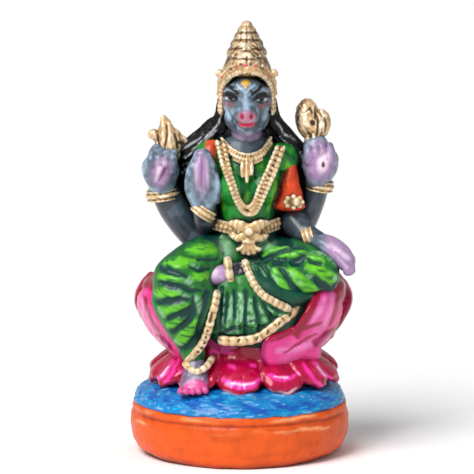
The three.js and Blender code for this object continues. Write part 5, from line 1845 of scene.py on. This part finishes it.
def make_emblems(sizes):
    """A conch with two side lobes in the right raised hand, a discus with its flame in the left."""
    clay = Clay("hollow")
    clay.limb(
        [(-33.8, 8, 141, 5.8, 4.8), (-33.6, 8, 146, 6.2, 5), (-34.6, 9, 151.6, 4.6, 4),
         (-35.9, 10, 158.6, 1.2, 1.4)],
        hollow=0,
    )
    clay.limb([(-37, 8.5, 147.4, 2.6, 2.8), (-41, 9, 150.2, 2.4, 2.6)], hollow=0)
    clay.limb([(-32, 8.5, 151, 2.8, 2.6), (-28.6, 9, 148.6, 2.2, 2), (-25.6, 9, 147, 1.2, 1.2)], hollow=0.1)
    clay.blob((35, 8, 147.2), (4.4, 4.6, 4.6), hollow=0.2)
    clay.blob((32.2, 11, 157.3), (5.9, 6.8, 9.8), lean=-3, sides=48, rings=36, hollow=0)
    clay.blob((37.8, 9.5, 154.7), (5.2, 5.4, 7.4), lean=12, sides=40, rings=30, hollow=0)
    skin = Skin(clay, sizes.fine_voxel, 1)
    p = skin.places
    conch = smooth(0, -4, p[:, 0])
    ridges = np.cos((p[:, 0] + 0.04 * (p[:, 2] - 140)) * TURN / 3.6)
    skin.push(0.22 * ridges * conch + 0.14 * ripple(p, 3, 131))
    near = smooth(10, 6, p[:, 1])
    deep_cuts = [
        [(-34.2, 155, 0.3), (-34.6, 149, 0.5), (-35.6, 142, 0.4)],
        [(-30.8, 151, 0.5), (-29, 144.5, 1.0)],
        [(-38.6, 150.4, 0.3), (-38.4, 144, 0.7)],
        [(-40.8, 147.6, 0.4), (-38.6, 143, 0.6)],
        [(-28.8, 147, 0.4), (-26.6, 145.6, 0.5)],
        [(36.4, 162.3, 0.4), (38.8, 159.9, 0.5)],
        [(36.2, 149.7, 0.5), (36.8, 156.7, 0.7), (35.8, 163.3, 0.5)],
        [(30.4, 160.9, 0.4), (33, 162.9, 0.5), (34.6, 160.7, 0.4)],
        [(40.4, 151.7, 0.3), (41.2, 155.7, 0.5), (40.2, 159.3, 0.3)],
        [(38.4, 150.3, 0.3), (39.4, 153.7, 0.4)],
        [(30.2, 154.1, 0.3), (32.6, 150.3, 0.5)],
    ]
    # The cuts and pits are pressed in and painted in shade.
    pits = most(dab(p, 34.4, 156.1, 1.2, 1.4), dab(p, 33.4, 149.7, 1.1, 1.4))
    cuts = most(brushed(p, deep_cuts, 0.5), pits) * near
    skin.push(-0.45 * cuts)
    # Painted shade in brown along the edges of the discus and conch, with random patches.
    edge = most(
        stroke(p, [(27.4, 149.1, 1.2), (26.8, 154.7, 1.5), (27.6, 161.7, 1.3), (30.4, 166.5, 0.8)], 1.1),
        stroke(p, [(43.2, 150.7, 0.6), (43.6, 155.7, 0.7)], 0.8) * 0.6,
        stroke(p, [(-39.4, 142, 1.0), (-29.4, 141.4, 1.2)], 1.0) * 0.7,
        smooth(0.3, 1.2, ripple(p, 2.8, 132)) * 0.45,
    )
    # Painted highlights on the discus and the conch.
    lit = most(
        dab(p, 30.4, 157.1, 1.6, 4.6, 6, 0.7),
        dab(p, -32.4, 149.4, 1.0, 4.6, 0, 0.7),
        dab(p, 38.6, 155.3, 0.9, 3, 0, 0.7),
    )
    hollow = most(cuts, edge * (1 - lit), skin.masks["hollow"])
    crest = most(smooth(*HIGHLIGHT_CREST_HEIGHTS, -skin.depth()), lit * near)
    behind = most(smooth(17, 19, p[:, 1]), smooth(0.35, 0.65, skin.normals[:, 1]))
    gild(skin, "emblems", hollow * (1 - behind), crest=crest * (1 - behind), back=behind)


# The stage

FLOOR_HALF = 6.0  # metres
FLOOR_PAINT = (0.95, 0.95, 0.95, 1)
SKY_STRENGTH = 0.42
SUN_STRENGTH, SUN_SPREAD = 2.7, 35  # the spread in degrees, wide for soft shadows
SUN_WAY = (0.5, 0.6, -1.0)
# Each lamp is its name, place, width in metres and power in watts
LAMPS = [("key", (-0.5, -0.9, 0.75), 0.2, 2.0), ("shade_under_hem", (0.8, -0.9, 0.35), 0.5, 0.6)]
LAMP_AIM = (0, 0, 0.1)
CAMERA_ELEVATION = 9  # degrees
CAMERA_LENS, CAMERA_SENSOR = 400, 36
CAMERA_REACH = 50  # metres, past the floor's far edge
VIEW_SPAN = 224.3  # width of the view at the crown's tip, in millimetres
CROWN_Y = 19  # the depth of the crown's tip
TIP_RIGHT, TIP_ABOVE = 4.64, 102.4  # where the crown's tip stands from the view's middle


def aimed(name, data, at, way):
    """A lamp or camera at a place, turned to look a way."""
    holder = bpy.data.objects.new(name, data)
    bpy.context.scene.collection.objects.link(holder)
    holder.location = at
    holder.rotation_mode = "QUATERNION"
    holder.rotation_quaternion = way.to_track_quat("-Z", "Y")
    return holder


def make_stage(sizes):
    """A pale floor, soft studio lights and the camera at the photograph's angle."""
    work = bmesh.new()
    bmesh.ops.create_grid(work, x_segments=2, y_segments=2, size=FLOOR_HALF)
    data = bpy.data.meshes.new("floor")
    work.to_mesh(data)
    work.free()
    floor = bpy.data.objects.new("floor", data)
    bpy.context.scene.collection.objects.link(floor)
    pale = bpy.data.materials.new("Pale floor")
    pale.use_nodes = True
    shader = pale.node_tree.nodes["Principled BSDF"]
    shader.inputs["Base Color"].default_value = FLOOR_PAINT
    shader.inputs["Roughness"].default_value = 0.8
    data.materials.append(pale)

    world = bpy.data.worlds.new("Studio")
    world.use_nodes = True
    background = world.node_tree.nodes["Background"]
    background.inputs["Color"].default_value = (1.0, 1.0, 1.0, 1)
    background.inputs["Strength"].default_value = SKY_STRENGTH
    bpy.context.scene.world = world
    bpy.context.scene.view_settings.view_transform = "Standard"

    sun = bpy.data.lights.new("daylight", "SUN")
    sun.energy = SUN_STRENGTH
    sun.angle = math.radians(SUN_SPREAD)
    aimed("daylight", sun, (0, 0, 0), Vector(SUN_WAY))

    for name, at, size, power in LAMPS:
        lamp = bpy.data.lights.new(name, "AREA")
        lamp.shape = "DISK"
        lamp.size = size
        lamp.energy = power
        aimed(name, lamp, at, Vector(LAMP_AIM) - Vector(at))

    elevation = math.radians(CAMERA_ELEVATION)
    away = Vector((0, -math.cos(elevation), math.sin(elevation)))
    up = Vector((0, math.sin(elevation), math.cos(elevation)))
    tip = Vector((MID, CROWN_Y, HEIGHT)) * MM
    middle = tip - Vector((1, 0, 0)) * TIP_RIGHT * MM - up * TIP_ABOVE * MM
    camera = bpy.data.cameras.new("camera")
    camera.lens = CAMERA_LENS
    camera.sensor_width = CAMERA_SENSOR
    camera.clip_end = CAMERA_REACH
    distance = VIEW_SPAN * MM / 2 / (camera.sensor_width / 2 / camera.lens)
    bpy.context.scene.camera = aimed("camera", camera, middle + away * distance, -away)


PIECES = [
    ("stage", "Stage", "Makes the floor, the lights and the camera", make_stage),
    ("plinth", "Plinth", "Makes the orange oval plinth", make_plinth),
    ("water", "Water", "Makes the blue water on the plinth", make_water),
    ("lotus", "Lotus", "Makes the lotus bowl and its upright petals", make_lotus),
    ("low_petals", "Low petals", "Makes the petals that droop on the water", make_low_petals),
    ("skirt", "Skirt", "Makes the green cloth over the legs", make_skirt),
    ("fan", "Fan", "Makes the pleated fan between the legs", make_fan),
    ("blouse", "Blouse", "Makes the blouse and its sleeve", make_blouse),
    ("arms", "Arms", "Makes the four arms", make_arms),
    ("hands", "Hands", "Makes the four hands", make_hands),
    ("feet", "Feet", "Makes both feet", make_feet),
    ("head", "Head", "Makes the boar's head and paints its face", make_head),
    ("hair", "Hair", "Makes the loose hair", make_hair),
    ("jewellery", "Jewellery", "Makes the garland, belt, cuffs and pendants", make_jewellery),
    ("hems", "Hems", "Makes the gold hems and anklets", make_hems),
    ("crown", "Crown", "Makes the crown", make_crown),
    ("emblems", "Emblems", "Makes the conch and the discus", make_emblems),
]
OPERATORS = [doll_operator(*piece) for piece in PIECES]


class DOLL_PT_pieces(Panel):
    """Lists the pieces of the doll in the sidebar."""

    bl_idname = "DOLL_PT_pieces"
    bl_label = "Clay doll"
    bl_space_type = "VIEW_3D"
    bl_region_type = "UI"
    bl_category = "Clay doll"

    def draw(self, context):
        for name, label, _, _ in PIECES:
            self.layout.operator(f"doll.{name}", text=label)
        for group in (context.scene.doll_sizes, context.scene.doll_paint):
            for name in group.__annotations__:
                self.layout.prop(group, name)


CLASSES = [DollSizes, DollPaint, *OPERATORS, DOLL_PT_pieces]


def register():
    """Adds the doll's settings, operators and panel."""
    for one in CLASSES:
        bpy.utils.register_class(one)
    bpy.types.Scene.doll_sizes = PointerProperty(type=DollSizes)
    bpy.types.Scene.doll_paint = PointerProperty(type=DollPaint)


def unregister():
    """Takes them out again."""
    del bpy.types.Scene.doll_paint
    del bpy.types.Scene.doll_sizes
    for one in reversed(CLASSES):
        bpy.utils.unregister_class(one)


def main():
    """Makes every piece in turn, and notes the doll's size beside the part's own."""
    register()
    for name, _, _, _ in PIECES:
        getattr(bpy.ops.doll, name)()


if __name__ == "__main__":
    main()
